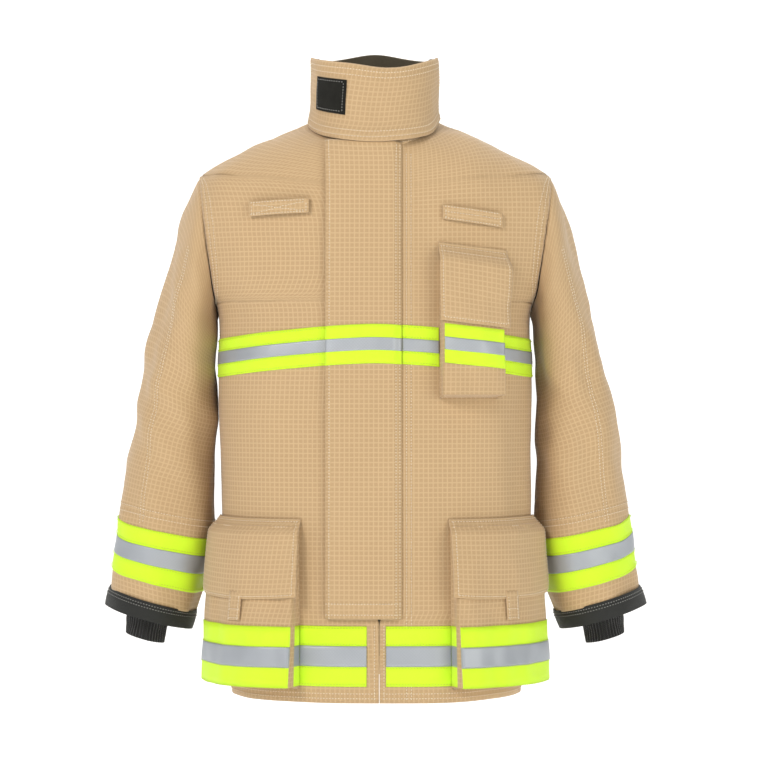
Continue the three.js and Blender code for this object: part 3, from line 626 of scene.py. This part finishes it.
def sleeve_piece(
    name, side, t0, t1, rows, lift, material, thick, nodes, ring0=None, shaped=False
):
    phi = sleeve_phi()
    share = np.linspace(0, 1, rows)[:, None]
    t = t0 + (t1 - t0) * share + 0 * phi[None]
    if shaped:
        t = trim_edge(t, phi[None])
    phi2 = np.broadcast_to(phi[None], t.shape)
    grid = sleeve_skin(side, t, phi2, ring0, lift)
    order = grid if side > 0 else grid[::-1]
    piece = cloth(name, order, material, thick, uv=arc_uv(order))
    if nodes:
        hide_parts(*nodes)
    return piece, grid


def blend_sleeve(piece, side):
    """Bakes the piece's placement into its mesh; the two points worked out here are not used."""
    start = np.array([side * 0.206, 0.0, 0.494]) + SHIFT
    end = np.array([side * 0.2775, 0.0, 0.3855]) + SHIFT
    tuple(start)
    tuple(end)
    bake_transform(piece)


def make_sleeve(side, name, edges):
    body = name + "_sleeve_body"
    phi = sleeve_phi()
    ring0 = armhole_ring(edges, side, phi)
    shell, _ = sleeve_piece(
        "sleeve_shell_" + name, side, 0.0, SLEEVE_TOP, 190, 0.0, TAN, CLOTH,
        [name + "_sleeve_shell"], ring0)
    blend_sleeve(shell, side)
    lining, _ = sleeve_piece(
        "sleeve_lining_" + name, side, 0.05, 7.75, 90, -0.0065, LINING, 0.0025,
        [name + "_sleeve_liner"], ring0)
    blend_sleeve(lining, side)
    t0, t1 = TRIM_T
    band = (t1 - t0) / 3
    lime, _ = sleeve_piece(
        "sleeve_trim_" + name, side, t0, t1, 26, 0.0011, LIME, 0.0009,
        [name + "_sleeve_trim"], shaped=True)
    silver, _ = sleeve_piece(
        "sleeve_silver_" + name, side, t0 + band, t1 - band * 1.02, 12, 0.0019, SILVER, 0.0007,
        [], shaped=True)
    cuff = make_cuff(side, name)
    for piece in (lime, silver, *cuff):
        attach(piece, body)
    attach(make_wristlet(side, name), body)
    rows = []
    for t_line in (t0 + 0.03, t0 + band - 0.03, t1 - band + 0.03, t1 - 0.03):
        rows.append(sleeve_line(side, t_line, 0.0018, True))
    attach(stitches("sleeve_trim_stitch_" + name, rows, LIME_THREAD), body)
    plain = [sleeve_line(side, t, 0.0, False) for t in (6.45, 6.56)]
    plain.append(sleeve_seam(side, 1.05, 1.2, TRIM_T[0] - 0.05))
    plain.append(sleeve_seam(side, 1.13, 1.2, TRIM_T[0] - 0.05))
    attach(stitches("sleeve_stitch_" + name, plain, CREAM), body)


def sleeve_line(side, t_line, lift, shaped):
    phi = np.linspace(-math.pi, math.pi, 220)[None]
    t = np.stack([np.full(220, t_line - 0.01), np.full(220, t_line + 0.01)])
    if shaped:
        t = trim_edge(t, phi)
    grid = sleeve_skin(side, t, np.broadcast_to(phi, t.shape), None, lift)
    n = grid_normals(grid, False)
    centre = grid.mean((0, 1))
    flip = np.sign((n[0] * (grid[0] - centre)).sum(-1))[:, None]
    return grid[0], n[0] * flip


def sleeve_seam(side, phi_line, t0, t1):
    t = np.broadcast_to(np.linspace(t0, t1, 200)[:, None], (200, 2))
    phi = np.broadcast_to(np.array([phi_line, phi_line + 0.01]), (200, 2))
    grid = sleeve_skin(side, t, phi)
    n = grid_normals(grid, False)[:, 0]
    centre = sleeve_frame(t[:, 0])[0] * np.array([side, 1, 1]) + SHIFT
    flip = np.sign((n * (grid[:, 0] - centre)).sum(-1))[:, None]
    return grid[:, 0], n * flip


def end_axis():
    ox, oz, ix, iz = SLEEVE[-1, :4]
    down = np.array([oz - iz, 0.0, ix - ox])
    return down / np.linalg.norm(down)


def make_cuff(side, name):
    """The black coated cuff, with two rows of grey stitching near its top."""
    phi = sleeve_phi()
    base = sleeve_skin(side, np.full((2, len(phi)), SLEEVE_TOP), np.broadcast_to(phi, (2, len(phi))))[0]
    down = end_axis() * np.array([side, 1, 1])
    centre = base.mean(0)
    share = np.linspace(0, 1, 26)
    profile = 0.0012 + 0.0010 * np.sin(np.pi * share) - 0.0004 * share
    out = base - centre
    out /= np.linalg.norm(out, axis=1)[:, None]
    ripple = 0.0016 * np.sin(phi * 3 + side) + 0.0008 * np.sin(phi * 7)
    grid = np.stack([
        base + down * (0.0245 * s - 0.0015) + out * (w + ripple * s)[:, None]
        for s, w in zip(share, profile)])
    order = grid if side > 0 else grid[::-1]
    cuff = cloth("cuff_band_" + name, order, BLACK, 0.0028)
    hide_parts(name + "_cuff")
    normal = out
    rows = [(grid[k], normal) for k in (4, 8)]
    thread = stitches("cuff_stitch_" + name, rows, GREY_THREAD, 0.0003)
    return cuff, thread


def make_wristlet(side, name):
    """The knit wristlet: a ribbed funnel that comes out of the cuff."""
    rows = np.array([
        (0.296, 0.138, 0.042, 0.050),
        (0.302, 0.104, 0.0285, 0.036),
        (0.3085, 0.0655, 0.0262, 0.033),
    ])
    cols, count = 240, 60
    phi = np.linspace(-math.pi, math.pi, cols + 1)
    t = np.linspace(0, 2, count)
    cx, cz, half, depth = np.moveaxis(along(rows, t), -1, 0)
    across = -np.cross(end_axis(), (0, 1, 0))
    across *= np.sign(across[0])
    rib = 0.0007 * np.cos(phi * 40)
    fold = noise(np.stack([np.cos(phi)[None] * 1.4 + 0 * t[:, None], np.sin(phi)[None] * 1.4 + 0 * t[:, None],
                           2.2 * t[:, None] + 0 * phi[None]], -1)) * 0.0022
    reach = rib[None] + fold
    grid = np.stack([cx, np.full(count, SLEEVE[-1, 5]), cz], -1)[:, None, :] + np.zeros((count, cols + 1, 3))
    grid = grid + across * ((half[:, None] + reach) * np.cos(phi))[..., None]
    grid[..., 1] -= (depth[:, None] + reach) * np.sin(phi)
    grid[..., 0] *= side
    grid = grid + SHIFT
    order = grid if side > 0 else grid[::-1]
    piece = cloth("wristlet_knit_" + name, order, KNIT, 0.0026)
    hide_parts(name + "_wristlet")
    return piece


# ------------------------------------------------------------------ trim round the body
def chest_fall(x):
    return 0.018 * (np.abs(x) / CHEST) ** 1.5


def band(name, theta0, theta1, high, wide, lift, cols, material, fall=True, thick=0.0009, rows=14):
    theta = np.linspace(theta0, theta1, cols)[None] + np.zeros((rows, 1))
    x = base_point(theta[0], at_height(theta[0], high - wide / 2))[:, 0]
    drop = chest_fall(x) if fall else 0 * x
    z = (high - wide) + wide * np.linspace(0, 1, rows)[:, None] - drop[None]
    grid = skin(theta, at_height(theta, z), lift)
    piece = cloth(name, grid, material, thick)
    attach(piece, "torso")
    return piece


def surface_line(theta, t, lift):
    return skin(theta, t, lift), base_normal(theta, t)


def level_row(theta0, theta1, z, lift, fall):
    theta = np.linspace(theta0, theta1, 160)
    x = base_point(theta, at_height(theta, z))[:, 0]
    drop = chest_fall(x) if fall else 0 * x
    return surface_line(theta, at_height(theta, z - drop), lift)


def body_trim(name, theta0, theta1, high, wide, node, fall, cols=60):
    stripe = 0.016 if wide < 0.06 else 0.026
    lime = band(name, theta0, theta1, high, wide, 0.0012, cols, LIME, fall)
    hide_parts(node)
    edge = (wide - stripe) / 2
    band(name + "_silver", theta0, theta1, high - edge, stripe, 0.0020, cols, SILVER, fall, 0.0007, 8)
    rows = [level_row(theta0, theta1, high - d, 0.0013, fall) for d in (0.0025, wide - 0.0025)]
    rows += [level_row(theta0, theta1, high - d, 0.0015, fall) for d in (edge - 0.002, wide - edge + 0.002)]
    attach(stitches(name + "_stitch", rows, LIME_THREAD), "torso")


def front_angle(x, z):
    return float(locate(x, z)[0])


def side_angle(side, y, z):
    """Plan angle at which the body's side is at depth y."""
    angles = np.linspace(-math.pi / 2, math.pi / 2, 2000)
    p = base_point(angles, at_height(angles, z))
    a = angles[np.argmin(np.abs(p[:, 1] - y))]
    return a if side > 0 else math.pi - a


def make_body_trims():
    z = 0.455
    seam_left = side_angle(1, SIDE_SEAM_Y, z)
    seam_right = side_angle(-1, SIDE_SEAM_Y, z) - 2 * math.pi
    chest = (0.480, 0.050)
    body_trim("chest_band_right", seam_right, front_angle(-0.059, z), *chest, "chest_trim_right", True, 90)
    body_trim("chest_band_left_inner", front_angle(0.0345, z), front_angle(0.0825, z), *chest,
              "chest_trim_left_inner", True, 24)
    body_trim("chest_band_left_outer", front_angle(0.160, z), seam_left, *chest,
              "chest_trim_left_outer", True, 60)
    body_trim("chest_band_back", seam_left, seam_right + 2 * math.pi, *chest, "chest_trim_back", True, 150)
    z = 0.06
    seam_left = side_angle(1, SIDE_SEAM_Y, z)
    seam_right = side_angle(-1, SIDE_SEAM_Y, z)
    hem = (0.097, 0.076)
    body_trim("hem_band_back", seam_left, seam_right, *hem, "hem_trim_back", False, 150)
    body_trim("hem_band_right", front_angle(-0.097, z), front_angle(-0.010, z), *hem,
              "hem_trim_right", False, 36)
    body_trim("hem_band_left", front_angle(0.0145, z), front_angle(0.097, z), *hem,
              "hem_trim_left", False, 36)


# ------------------------------------------------------------------ storm flap
FLAP = (-0.062, 0.0345, 0.106, 0.712)
FLAP_LIFT = 0.0076


def flap_grid(x0, x1, z0, z1, lift, rows, cols, droop=None):
    x = np.linspace(x0, x1, cols)[None] + np.zeros((rows, 1))
    z = np.linspace(z0, z1, rows)[:, None] + np.zeros((1, cols))
    if droop is not None:
        z = z - droop(x)
    theta, t = locate(x, z)
    return theta, t, skin(theta, t, lift)


def make_storm_flap():
    x0, x1, z0, z1 = FLAP
    theta, t, grid = flap_grid(x0, x1, z0, z1, 0.0, 220, 40)
    x = np.linspace(x0, x1, 40)[None]
    z = np.linspace(z0, z1, 220)[:, None]
    roll = 0.0016 * np.exp(-((x - x0) / 0.004) ** 2) + 0.0016 * np.exp(-((z - z0) / 0.004) ** 2)
    wave = 0.0012 * noise(np.stack([x / 0.05 + 0 * z, 0 * x + 0 * z, z / 0.12 + 0 * x], -1))
    seat = smooth(x1, x1 - 0.012, x)
    lift = (FLAP_LIFT + wave - roll) * (0.35 + 0.65 * seat)
    grid = skin(theta, t, 0.0) + base_normal(theta, t) * lift[..., None]
    piece = cloth("storm_flap_cloth", grid, TAN, 0.0030)
    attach(piece, "storm_flap_body")
    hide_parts("storm_flap")
    lines = []

    def column(xc, za, zb):
        k = np.searchsorted(x[0], xc)
        pick = (z[:, 0] >= za) & (z[:, 0] <= zb)
        return grid[pick, k], base_normal(theta, t)[pick, k]

    def across(zc, xa, xb):
        k = np.searchsorted(z[:, 0], zc)
        pick = (x[0] >= xa) & (x[0] <= xb)
        return grid[k, pick], base_normal(theta, t)[k, pick]

    lines += [column(x0 + 0.004, z0, z1), column(x1 - 0.003, z0, z1), column(x1 - 0.009, z0, z1)]
    lines += [across(z0 + d, x0, x1) for d in (0.004, 0.017)]
    lines += [across(z0 + 0.018 + 0.0006 * k, x1 - 0.030, x1 - 0.012) for k in range(3)]
    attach(stitches("storm_flap_stitch", lines, CREAM), "storm_flap_body")
    for suffix, high, wide, more, material, thick in (
        ("", 0.4795, 0.050, 0.0011, LIME, 0.0008),
        ("_silver", 0.4625, 0.016, 0.0018, SILVER, 0.0006),
    ):
        zz = np.linspace(high - wide, high, 12)[:, None] + 0 * x
        th, tt = locate(np.broadcast_to(x, zz.shape), zz - chest_fall(np.broadcast_to(x, zz.shape)))
        pick = np.array([np.interp(zz[:, 0], z[:, 0], lift[:, c]) for c in range(40)]).T
        g = skin(th, tt, 0.0) + base_normal(th, tt) * (pick + more)[..., None]
        strip = cloth("storm_flap_band" + suffix, g, material, thick)
        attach(strip, "storm_flap_body")
        if not suffix:
            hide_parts("chest_trim_flap")


# ------------------------------------------------------------------ pockets
def edge_places(count, edge, span):
    """Places from 0 to 1 that crowd together over the pocket's walls at both ends."""
    wall = edge / span
    side = np.linspace(0, wall, 9)
    return np.concatenate([side[:-1], np.linspace(wall, 1 - wall, count), 1 - side[::-1][1:]])


def pocket(name, node, start, end, z0, z1, depth_low, depth_high, slant=0.0, body="torso"):
    """A bellows pocket that stands off the shell. start and end give the plan angle at each height."""
    v = edge_places(46, 0.004, z1 - z0)
    u = edge_places(56, 0.004, 0.13)
    z = z0 + (z1 - z0) * v[:, None] + 0 * u[None]
    theta = start(z) + (end(z) - start(z)) * u[None]
    t = at_height(theta, z)
    wall_u = 0.004 / 0.13
    inner_wall = wall_u + slant * (1 - v)[:, None]
    rise_in = smooth(0, 1, u[None] / inner_wall)
    rise_u = np.minimum(rise_in, smooth(0, wall_u, 1 - u)[None])
    rise_v = smooth(0, 0.004 / (z1 - z0), np.minimum(v, 1 - v))[:, None]
    depth = depth_high + (depth_low - depth_high) * (1 - v)[:, None]
    belly = 0.0022 * noise(np.stack([theta * 9, z * 22, 0 * z + 3.3], -1))
    lift = 0.0006 + depth * np.minimum(rise_u, rise_v) + belly * np.minimum(rise_u, rise_v)
    inward = 0.05 * np.sin(2 * math.pi * rise_u) * (np.minimum(u, 1 - u)[None] < wall_u) * 0.4
    theta = theta + inward * np.sign(0.5 - u)[None] * np.sign(end(z) - start(z)) * 0.25
    grid = skin(theta, t, 0.0) + base_normal(theta, t) * lift[..., None]
    face = grid if theta[0, -1] > theta[0, 0] else grid[:, ::-1]
    piece = cloth(name, face, TAN, 0.0018)
    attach(piece, body)
    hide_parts(node)
    return theta, t, lift, grid


def pick_lines(grid, normals, rows=(), cols=()):
    lines = [(grid[r, c0:c1], normals[r, c0:c1]) for r, c0, c1 in rows]
    return lines + [(grid[r0:r1, c], normals[r0:r1, c]) for c, r0, r1 in cols]


def over_pocket(name, theta, z, lift, material, thick, body, node=None):
    t = at_height(theta, z)
    grid = skin(theta, t, 0.0) + base_normal(theta, t) * lift[..., None]
    face = grid if theta[0, -1] > theta[0, 0] else grid[:, ::-1]
    piece = cloth(name, face, material, thick)
    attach(piece, body)
    if node:
        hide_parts(node)
    return piece, grid, base_normal(theta, t)


def outer_angle(side, y, z):
    """Plan angle at depth y on the body's side, for each height z."""
    a = side_angle(side, y, float(np.mean(z)))
    return a if side > 0 else a - 2 * math.pi


def make_lower_pocket(side, name):
    inner_x = side * 0.096
    zs = np.array([0.018, 0.12, 0.24])
    inner = np.array([front_angle(inner_x, z) for z in zs])
    outer = np.array([outer_angle(side, -0.026, z) for z in zs])
    start = lambda z: np.interp(z, zs, inner)
    end = lambda z: np.interp(z, zs, outer)
    pocket(f"pocket_{name}_cloth", f"{name}_pocket_body", start, end, 0.018, 0.226, 0.036, 0.012)
    cover = f"{name}_flap_body"
    rows, cols = 60, 64
    v = np.linspace(0, 1, rows)[:, None]
    u = np.linspace(0, 1, cols)[None]
    z = 0.134 + 0.098 * v + 0 * u
    z = z - 0.004 * np.sin(math.pi * u) * (1 - v)
    theta = start(z) + (end(z) - start(z)) * (u * 1.03 - 0.015)
    under = 0.036 + (0.012 - 0.036) * (z - 0.018) / 0.208
    top = smooth(0.234, 0.212, z)
    curl = 0.0016 * (np.exp(-((u) / 0.03) ** 2) + np.exp(-((1 - u) / 0.03) ** 2) + np.exp(-(v / 0.04) ** 2))
    wave = 0.0014 * noise(np.stack([theta * 8 + side, z * 18, 0 * z], -1))
    lift = 0.0034 + (under + 0.0050 - 0.0034) * top + wave * top - curl
    flap, grid, normal = over_pocket(
        f"pocket_{name}_flap_cloth", theta, z, lift, TAN, 0.0028, cover,
        f"{name}_pocket_flap")
    edges = pick_lines(
        grid, normal,
        rows=[(2, 2, -2), (57, 1, -1), (53, 1, -1)], cols=[(2, 2, -1), (-3, 2, -1)])
    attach(stitches(f"pocket_{name}_flap_stitch", edges, CREAM), cover)
    tab_z = 0.104 + 0.036 * np.linspace(0, 1, 14)[:, None] + np.zeros((1, 8))
    middle = front_angle(side * 0.160, 0.12)
    half = 0.0085 / 0.20
    tab_theta = middle + side * np.linspace(-half, half, 8)[None] + 0 * tab_z
    tab_lift = 0.036 - 0.024 * (tab_z - 0.018) / 0.208 + 0.0050
    _, tab_grid, tab_normal = over_pocket(
        f"pocket_{name}_tab_cloth", tab_theta, tab_z, tab_lift, TAN, 0.0018, cover,
        f"{name}_pocket_pull_tab")
    tab_lines = pick_lines(
        tab_grid, tab_normal, rows=[(1, 0, None), (5, 0, None)], cols=[(1, 0, 12), (6, 0, 12)])
    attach(stitches(f"pocket_{name}_tab_stitch", tab_lines, CREAM), cover)
    pocket_band(name, start, end)


def pocket_band(name, start, end):
    """The hem trim runs on over the pocket's inner wall and across its face."""
    wall = 0.004 / 0.13
    for suffix, z_top, wide, more, material in (
        ("", 0.097, 0.076, 0.0012, LIME),
        ("_silver", 0.072, 0.026, 0.0020, SILVER),
    ):
        rows = 10
        u = np.concatenate([np.linspace(0, wall, 9), np.linspace(wall, 0.968, 44)[1:]])[None]
        z = z_top - wide + wide * np.linspace(0, 1, rows)[:, None] + 0 * u
        theta = start(z) + (end(z) - start(z)) * u
        rise = smooth(0, wall, u)
        belly = 0.0022 * noise(np.stack([theta * 9, z * 22, 0 * z + 3.3], -1))
        under = (0.036 - 0.024 * (z - 0.018) / 0.208 + belly) * rise + 0.0006
        _, grid, normal = over_pocket(
            f"hem_band_pocket_{name}{suffix}", theta, z, under + more, material, 0.0008, "torso",
            None if suffix else f"hem_trim_{name}_pocket")
        lines = pick_lines(grid, normal, rows=[(0, 1, -1), (rows - 1, 1, -1)])
        thread = stitches(f"hem_band_pocket_{name}{suffix}_stitch", lines, LIME_THREAD)
        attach(thread, "torso")


def make_radio_pocket():
    zs = np.array([0.386, 0.48, 0.60])
    inner = np.array([front_angle(0.083, z) for z in zs])
    outer = np.array([front_angle(0.1570, z) for z in zs])
    start = lambda z: np.interp(z, zs, inner)
    end = lambda z: np.interp(z, zs, outer)
    pocket("radio_pocket_cloth", "radio_pocket_body", start, end, 0.386, 0.560, 0.024, 0.016)
    rows, cols = 44, 44
    v = np.linspace(0, 1, rows)[:, None]
    u = np.linspace(0, 1, cols)[None]
    z = 0.484 + 0.101 * v - 0.010 * u
    theta = start(z) + (end(z) - start(z)) * (u * (1.08 + 0.09 * v) - 0.03)
    curl = 0.0016 * (np.exp(-(u / 0.04) ** 2) + np.exp(-((1 - u) / 0.04) ** 2) + np.exp(-(v / 0.05) ** 2))
    top = smooth(0.585 - 0.012 * u, 0.562 - 0.012 * u, z)
    wave = 0.0010 * noise(np.stack([theta * 11, z * 20, 0 * z + 7], -1))
    lift = 0.003 + (0.0175 + 0.0045 * (1 - v)) * top - curl + wave
    flap, grid, normal = over_pocket(
        "radio_pocket_flap_cloth", theta, z, lift, TAN, 0.0028, "radio_flap_body",
        "radio_pocket_flap")
    lines = pick_lines(
        grid, normal, rows=[(2, 2, -2), (41, 1, -1), (38, 1, -1)], cols=[(2, 2, -1), (-3, 2, -1)])
    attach(stitches("radio_flap_stitch", lines, CREAM), "radio_flap_body")
    for suffix, high, wide, more, material in (
        ("", 0.480, 0.050, 0.0012, LIME),
        ("_silver", 0.463, 0.016, 0.0020, SILVER),
    ):
        zz = np.linspace(high - wide, high, 9)[:, None] - 0.008 * u
        th = start(zz) + (end(zz) - start(zz)) * (0.035 + 0.93 * u)
        under = 0.0166 + 0.0080 * (0.570 - zz) / 0.184
        belly = 0.0022 * noise(np.stack([th * 9, zz * 22, 0 * zz + 3.3], -1))
        over_pocket("chest_band_radio" + suffix, th, zz, under + belly + more, material, 0.0008, "torso",
                    None if suffix else "chest_trim_radio_pocket")


# ------------------------------------------------------------------ microphone tab and loop
def strap(name, node, x, z, fall, lift, pattern):
    rows, cols = 12, 44
    u = np.linspace(-0.038, 0.038, cols)[None]
    v = np.linspace(-0.009, 0.009, rows)[:, None]
    xx, zz = x + u + 0 * v, z + v + fall * u
    theta, t = locate(xx, zz)
    bow = 0.0015 * np.cos(u / 0.038 * math.pi / 2) * lift / 0.006
    grid = skin(theta, t, 0.0) + base_normal(theta, t) * (lift + bow + 0 * v)[..., None]
    piece = cloth(name, grid, TAN, 0.0030)
    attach(piece, "torso")
    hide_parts(node)
    n = base_normal(theta, t)
    lines = pick_lines(grid, n, rows=[(1, 1, -1), (rows - 2, 1, -1)], cols=[(2, 1, -1), (cols - 3, 1, -1)])
    if pattern == "cross":
        k = np.linspace(3, cols - 4, 30).astype(int)
        r = np.linspace(2, rows - 3, 30).astype(int)
        lines += [(grid[r, k], n[r, k]), (grid[r[::-1], k], n[r[::-1], k])]
    else:
        lines += pick_lines(grid, n, rows=[(rows // 2, 1, -1)])
    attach(stitches(name + "_stitch", lines, CREAM), "torso")


# ------------------------------------------------------------------ collar
COLLAR = {"front": 0.098, "side": 0.082, "back": 0.080, "lean": 0.014}


def collar_point(theta, share):
    front, side, back, half, back_depth = ROWS[-1]
    c, s = np.cos(theta), np.sin(theta)
    depth = np.where(s < 0, FRONT_NECK - COLLAR["lean"] * share, back_depth - COLLAR["lean"] * share)
    r = (np.abs(c / half) ** ROUND + np.abs(s / depth) ** ROUND) ** (-1 / ROUND)
    end = np.where(s < 0, front + COLLAR["front"] * share, back + COLLAR["back"] * share)
    mid = side + COLLAR["side"] * share
    return np.stack([r * c, r * s, mid + (end - mid) * s * s], -1)


def collar_grid(theta, share, lift):
    p = collar_point(theta, share)
    n = grid_normals(p, False)
    soft = 0.0016 * noise(np.stack([theta * 2.3, share * 2.2, 0 * share + 5.5], -1))
    crease = 0.0006 * noise(np.stack([theta * 9, share * 5, 0 * share + 1.5], -1))
    dip = -0.006 * np.exp(-((theta + 1.35) / 0.35) ** 2) * share ** 2
    p = p + n * (lift + soft + crease)[..., None]
    p[..., 2] += dip
    return p + SHIFT, n


def make_collar():
    gap = 0.115
    theta = np.linspace(-math.pi / 2 + gap + 0.05, 1.5 * math.pi - gap + 0.05, 260)[None]
    share = np.linspace(-0.05, 1, 40)[:, None]
    theta, share = np.broadcast_arrays(theta, share)
    for name, node, lift, thick, material, slot in (
        ("collar_band_cloth", "collar_band", -0.0002, 0.0034, TAN, "shell_fabric"),
        ("collar_lining_cloth", "collar_lining", -0.0044, 0.0018, LINING, "thermal_liner"),
    ):
        grid, normal = collar_grid(theta, share, lift + 0 * share)
        piece = cloth(name, grid, material, thick)
        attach(piece, "torso")
        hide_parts(node)
        if node == "collar_band":
            rows = pick_lines(grid, normal, rows=[(1, 0, None), (37, 0, None), (35, 0, None)])
            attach(stitches("collar_stitch", rows, CREAM), "torso")
    reach = 0.85
    theta = np.linspace(-math.pi + reach * 0.55, -reach * 0.55, 110)[None]
    low = -0.01 + 0.10 * smooth(-1.05, -0.55, theta)
    share = low + (1.03 - low) * np.linspace(0, 1, 40)[:, None]
    theta = theta + 0 * share
    lift = 0.0066 - 0.0012 * np.exp(-((share - 1.03) / 0.03) ** 2) + 0.0035 * smooth(0.25, 0.0, share)
    grid, normal = collar_grid(theta, share, lift)
    flap = cloth("collar_flap_cloth", grid, TAN, 0.0036)
    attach(flap, "collar_flap_body")
    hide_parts("collar_flap")
    lines = pick_lines(
        grid, normal, rows=[(2, 2, -2), (5, 2, -2), (36, 2, -2), (33, 2, -2)],
        cols=[(2, 2, -2), (5, 2, -2), (-3, 2, -2)])
    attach(stitches("collar_flap_stitch", lines, CREAM), "collar_flap_body")
    u = np.linspace(0, 1, 14)[None]
    v = np.linspace(0, 1, 14)[:, None]
    a0 = math.atan2(-0.106, -0.053) - 0.26
    theta, share = a0 + 0.42 * u + 0 * v, 0.32 + 0.47 * v + 0 * u
    grid, normal = collar_grid(theta, share, 0.0082 + 0 * share)
    patch = cloth("collar_patch_pile", grid, PILE, 0.0014)
    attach(patch, "collar_flap_body")
    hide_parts("collar_patch")
    ring = pick_lines(grid, normal, rows=[(1, 1, -1), (12, 1, -1)], cols=[(1, 1, -1), (12, 1, -1)])
    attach(stitches("collar_patch_stitch", ring, GREY_THREAD), "collar_flap_body")


def make_hanger_loop():
    angle = np.linspace(0, 2 * math.pi, 65)
    x = np.clip(0.040 * np.cos(angle), -0.024, 0.024) + 0.008 * np.cos(angle)
    z = 0.780 + 0.008 * np.sin(angle) + 0.001 * np.cos(angle * 2)
    rows = [np.stack([x, np.full(65, 0.0455 + y), z], -1) for y in (-0.00125, 0.00125)]
    grid = np.array(rows)[:, ::-1] + SHIFT
    centre = grid.mean((0, 1))
    n = grid - centre
    n[..., 1] = 0
    n /= np.linalg.norm(n, axis=-1, keepdims=True)
    piece = cloth("hanger_loop_cloth", grid, LINING, 0.0028, normals=n)
    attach(piece, "torso")
    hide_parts("hanger_loop")


# ------------------------------------------------------------------ seams and hems of the body
def make_body_stitches():
    lines = []
    for sign in (-1, 1):
        for z in (0.006, 0.012):
            start = front_angle(OPENING_X + sign * 0.004, z + 0.004)
            end = side_angle(sign, SIDE_SEAM_Y, z) - (2 * math.pi if sign < 0 else 0)
            lines.append(level_row(start, end, z, 0.0, False))
    left, right = side_angle(1, SIDE_SEAM_Y, 0.01), side_angle(-1, SIDE_SEAM_Y, 0.01)
    lines += [level_row(left, right, z, 0.0, False) for z in (0.006, 0.012)]
    for x in (OPENING_X - 0.006, OPENING_X + 0.006, 0.0405, 0.0465):
        z = np.linspace(0.004, 0.70 if x > 0.03 else 0.100, 200)
        theta, t = locate(np.full(200, x), z)
        lines.append(surface_line(theta, t, 0.0))
    for sign in (-1, 1):
        for offset in (0.007, 0.013):
            rows = T_ROWS[(T_ROWS > 4.0) & (T_ROWS < 9.0)]
            edge = crossing(rows, sign, False)
            theta = edge - sign * offset / 0.2
            lines.append(surface_line(theta, rows, 0.0))
            edge = crossing(rows, sign, True)
            lines.append(surface_line(edge + sign * offset / 0.2, rows, 0.0))
        z = np.linspace(0.004, ARMPIT[1] - 0.01, 180)
        for k in (0.6, 1.2):
            y = SIDE_SEAM_Y + 0.005 * k
            a = side_angle(sign, y, 0.25) - (2 * math.pi if sign < 0 else 0)
            theta = np.full(z.shape, a)
            lines.append(surface_line(theta, at_height(theta, z), 0.0))
    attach(stitches("body_stitch", lines, CREAM), "torso")


# ------------------------------------------------------------------ small kept parts of the frame
def paint(node, material):
    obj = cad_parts[node]
    for slot in obj.material_slots:
        slot.material = material


# ------------------------------------------------------------------ stage
def make_floor():
    material, _, _, bsdf = new_material("pale_stage")
    bsdf.inputs["Base Color"].default_value = (0.93, 0.93, 0.92, 1)
    bsdf.inputs["Roughness"].default_value = 0.9
    bsdf.inputs["Emission Color"].default_value = (1.0, 0.995, 0.985, 1)
    bsdf.inputs["Emission Strength"].default_value = 0.50
    bend = np.linspace(0.05, math.pi / 2, 24)
    profile = [(-9.0, -1.25), (6.0, -1.25)]
    profile += [(6.0 + 2.0 * math.sin(a), -1.25 + 2.0 * (1 - math.cos(a))) for a in bend]
    profile += [(8.0, 9.0)]
    grid = np.array([[(x, y, z) for x in (-14.0, 14.0)] for y, z in profile])
    floor = mesh_object("stage_floor", grid.reshape(-1, 3), grid_faces(len(profile), 2, False), material)


def area_light(name, place, aim, size, watts, colour):
    data = bpy.data.lights.new(name, "AREA")
    data.shape = "DISK"
    data.size = size
    data.energy = watts
    data.color = colour
    light = bpy.data.objects.new(name, data)
    way = np.array(aim, float) - np.array(place, float)
    tilt = math.atan2(math.hypot(way[0], way[1]), -way[2])
    light.location = place
    light.rotation_euler = (tilt, 0, math.atan2(way[1], way[0]) - math.pi / 2)
    bpy.context.scene.collection.objects.link(light)


def make_stage():
    make_floor()
    world = bpy.data.worlds.new("studio")
    world.use_nodes = True
    background = world.node_tree.nodes["Background"]
    background.inputs[0].default_value = (1.0, 0.99, 0.975, 1)
    background.inputs[1].default_value = 0.50
    bpy.context.scene.world = world
    area_light("key", (-1.7, -2.6, 1.3), (0, 0, -0.35), 1.1, 56, (1.0, 0.95, 0.90))
    area_light("fill", (2.2, -2.4, 0.2), (0, 0, -0.4), 1.8, 28, (1.0, 0.97, 0.86))
    area_light("top", (0.0, 0.4, 1.9), (0, 0.2, -0.2), 1.8, 22, (1, 1, 1))
    camera = bpy.data.cameras.new("camera")
    camera.sensor_width = 36
    camera.lens = 105.8
    camera.clip_end = 60
    obj = bpy.data.objects.new("camera", camera)
    obj.location = (0.012, -3.0455, -0.3765)
    obj.rotation_euler = (math.pi / 2, 0, 0)
    bpy.context.scene.collection.objects.link(obj)
    bpy.context.scene.camera = obj
    bpy.context.scene.view_settings.view_transform = "Standard"


# ------------------------------------------------------------------ build
edges = make_shell()
make_lining()
make_sleeve(-1, "right", edges)
make_sleeve(1, "left", edges)
make_body_trims()
make_storm_flap()
make_lower_pocket(-1, "right")
make_lower_pocket(1, "left")
make_radio_pocket()
strap("mic_tab_cloth", "mic_tab", -0.121, 0.629, 0.05, 0.0062, "cross")
strap("mic_loop_cloth", "mic_loop", 0.125, 0.618, -0.13, 0.0045, "rows")
make_collar()
make_hanger_loop()
make_body_stitches()
for node in ("front_loop_strip", "storm_flap_hook_strip"):
    paint(node, PILE)
for node in ("zip_tape_right", "zip_tape_left", "zip_teeth", "zip_slider", "zip_pull"):
    paint(node, ZIP)
make_stage()
